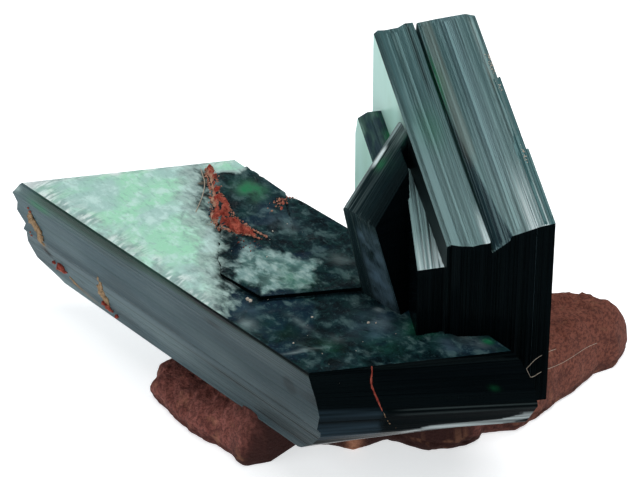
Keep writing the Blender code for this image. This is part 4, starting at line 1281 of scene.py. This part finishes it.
LAMPS = {  # place, size and brightness
    "overhead": ((0.12, 0, 0.62), (0.55, 0.55), 2.6),
    "left_front": ((-0.62, -0.3, 0.42), (0.5, 0.4), 2.2),
    "left_back": ((-0.35, 0.6, 0.3), (0.4, 0.3), 1.6)}
LAMP_AIM = Vector((0, 0, 0.02))
SKY_COLOUR, SKY_STRENGTH = (0.93, 0.97, 1, 1), 0.22
FLOOR_HALF = 3
FLOOR_GLOW, FLOOR_GLOW_STRENGTH = (0.97, 0.99, 1, 1), 0.65
CAMERA_PLACE = (0.000356, -0.22149, 0.147682)
CAMERA_TILT = math.radians(60)            # 30 degrees below level
FOCAL_PIXELS, IMAGE_WIDTH, SENSOR_WIDTH = 2500, 640, 36


def placed(name, data):
    """Links a new object to the scene."""
    made = bpy.data.objects.new(name, data)
    bpy.context.scene.collection.objects.link(made)
    return made


def soft_box(name, place, size, brightness):
    """A soft rectangular light that faces the specimen; its power follows from its brightness and area."""
    light = bpy.data.lights.new(name, "AREA")
    light.shape = "RECTANGLE"
    light.size, light.size_y = size
    light.energy = math.pi * size[0] * size[1] * brightness
    lamp = placed(name, light)
    lamp.location = place
    lamp.rotation_euler = (LAMP_AIM - Vector(place)).to_track_quat("-Z", "Y").to_euler()


def studio():
    """A pale floor that glows a little, a pale sky and three soft lamps."""
    made, tree, shader, place = material("pale_floor", 0.6, Specular_IOR_Level=0.2, Emission_Color=FLOOR_GLOW,
                                         Emission_Strength=FLOOR_GLOW_STRENGTH)
    grain = speckle(tree, place, 0.05, 3)
    feed(tree, shader.inputs["Base Color"], mixed(tree, grain, (0.86, 0.87, 0.88), (0.9, 0.9, 0.91)))
    mesh = bpy.data.meshes.new("floor")
    corners = [(x * FLOOR_HALF, y * FLOOR_HALF, 0) for x, y in ((-1, -1), (1, -1), (1, 1), (-1, 1))]
    mesh.from_pydata(corners, [], [(0, 1, 2, 3)])
    mesh.materials.append(made)
    placed("floor", mesh)
    world = bpy.data.worlds.new("studio")
    world.use_nodes = True
    colour, strength = world.node_tree.nodes["Background"].inputs[:2]
    colour.default_value, strength.default_value = SKY_COLOUR, SKY_STRENGTH
    bpy.context.scene.world = world
    for name, lamp in LAMPS.items():
        soft_box(name, *lamp)
    bpy.context.scene.view_settings.view_transform = "Standard"


def camera():
    """The camera at the photo's angle and distance."""
    data = bpy.data.cameras.new("camera")
    data.sensor_width = SENSOR_WIDTH
    data.lens = FOCAL_PIXELS / IMAGE_WIDTH * SENSOR_WIDTH
    data.clip_start = 0.01
    made = placed("camera", data)
    made.location = CAMERA_PLACE
    made.rotation_euler = (CAMERA_TILT, 0, 0)
    bpy.context.scene.camera = made


# Finishes: growth faces have shades (dark, middle, bright), roughness, line height, specular and contrast
NIGHT = ((0.0008, 0.002, 0.0025), (0.0015, 0.003, 0.004), (0.006, 0.01, 0.011))
GROWTH_FACES = {
    "side_face": (((0.066, 0.11, 0.124), (0.08, 0.126, 0.148), (0.11, 0.175, 0.19)),
                  0.35, 0.001, 0.08, 0.2, {"index": 1.3}),
    "ribbed_face": (((0.022, 0.066, 0.07), (0.048, 0.125, 0.134), (0.12, 0.245, 0.25)),
                    0.17, 0.006, 0.42, 0.7, {}),
    "front_face": (NIGHT, 0.12, 0.003, 0.03, 0.6, {"clear": 0.12, "index": 1.15}),
    "black_face": (NIGHT, 0.12, 0, 0.03, 0, {"clear": 0.12, "index": 1.15}),
    "streaked_face": (((0.002, 0.007, 0.009), (0.008, 0.02, 0.024), (0.05, 0.085, 0.09)),
                      0.14, 0.01, 0.2, 0.9, {"index": 1.3})}
# Dull ones have colours (first, second, dark, fleck), scale, grain height, right end's colour, dark share
STONES = {
    "red_rock": (((0.19, 0.058, 0.046), (0.3, 0.105, 0.085), (0.04, 0.013, 0.011), (0.46, 0.21, 0.12)),
                 0.5, 0.25, (0.23, 0.078, 0.05)),
    "rust": (((0.36, 0.045, 0.03), (0.6, 0.145, 0.095), (0.1, 0.014, 0.009), (0.7, 0.46, 0.32)),
             1.1, 0.35, None, 0.4),
    "tan_filling": (((0.3, 0.19, 0.09), (0.42, 0.28, 0.15), (0.1, 0.05, 0.03), (0.6, 0.48, 0.34)),
                    1.3, 0.2),
    "hair": (((0.42, 0.36, 0.28), (0.5, 0.44, 0.36), (0.3, 0.25, 0.2), (0.62, 0.56, 0.48)), 1.6, 0.02)}
# Places of the finishes in a blade's list
FRONT, PLAIN, RIBBED, BROAD, TOP, BLACK, STREAKED = range(7)


def main():
    lines, clouds, grains, tints = growth_lines_group(), clouds_group(), grains_group(), tints_group()
    top = cleavage_finish(tints, clouds)
    plain, ribbed, front, black, streaked = (ribbed_finish(name, tints, lines, *row, **more)
                                             for name, (*row, more) in GROWTH_FACES.items())
    finishes = [front, plain, ribbed, broad_finish(tints, clouds), top, black, streaked]
    blade("large_blade", LARGE, (150, 60, 150, 60), 85, 7, 0.012, 0.025, finishes,
          (PLAIN, TOP, PLAIN, FRONT, PLAIN, PLAIN), paint_large, relief=top_relief, grid_top=True)
    raised_sheet(top, black)
    blade("tall_blade", TALL, (90, 24, 24, 50), 150, 3, 0.07, 0.25, finishes,
          (PLAIN, BROAD, RIBBED, PLAIN, FRONT, FRONT), paint_ribbed, wave=tall_wave)
    for index, start in enumerate(SKIN_STARTS):
        blade(f"skin_{index}", skin_shape(*start), (60, 10, 10, 30), 12, 50 + index, 0.02, 0.2, finishes,
              (PLAIN, PLAIN, RIBBED, PLAIN, FRONT, FRONT), paint_none, rings=5)
    blade("side_blade", SIDE, (40, 10, 10, 20), 60, 11, 0.07, 0.3, finishes,
          (BLACK, BLACK, RIBBED, STREAKED, BLACK, FRONT), paint_side, rings=5)
    blade("leaning_blade", LEAN, (50, 10, 16, 30, 20, 50), 60, 13, 0.06, 0.25, finishes,
          (BLACK, BLACK, STREAKED, STREAKED, STREAKED, STREAKED, BLACK, STREAKED), paint_lean, rings=10)
    blade("rear_blade", REAR, (10, 30, 10, 30, 20), 50, 17, 0.06, 0.25, finishes,
          (BLACK, BROAD, STREAKED, STREAKED, BLACK, FRONT, STREAKED), paint_rear, rings=8)
    stone, rust, tan_stone, hair = (stone_finish(name, grains, *row) for name, row in STONES.items())
    rock(stone)
    crust("rust_crust", CRUST_PATH, 1.25, rust, 2, "oxide_crust")
    crust("rust_fleck", FLECK_PATH, 0.9, rust, 5, "oxide_fleck")
    small_things(rust, tan_stone, hair)
    studio()
    camera()


main()
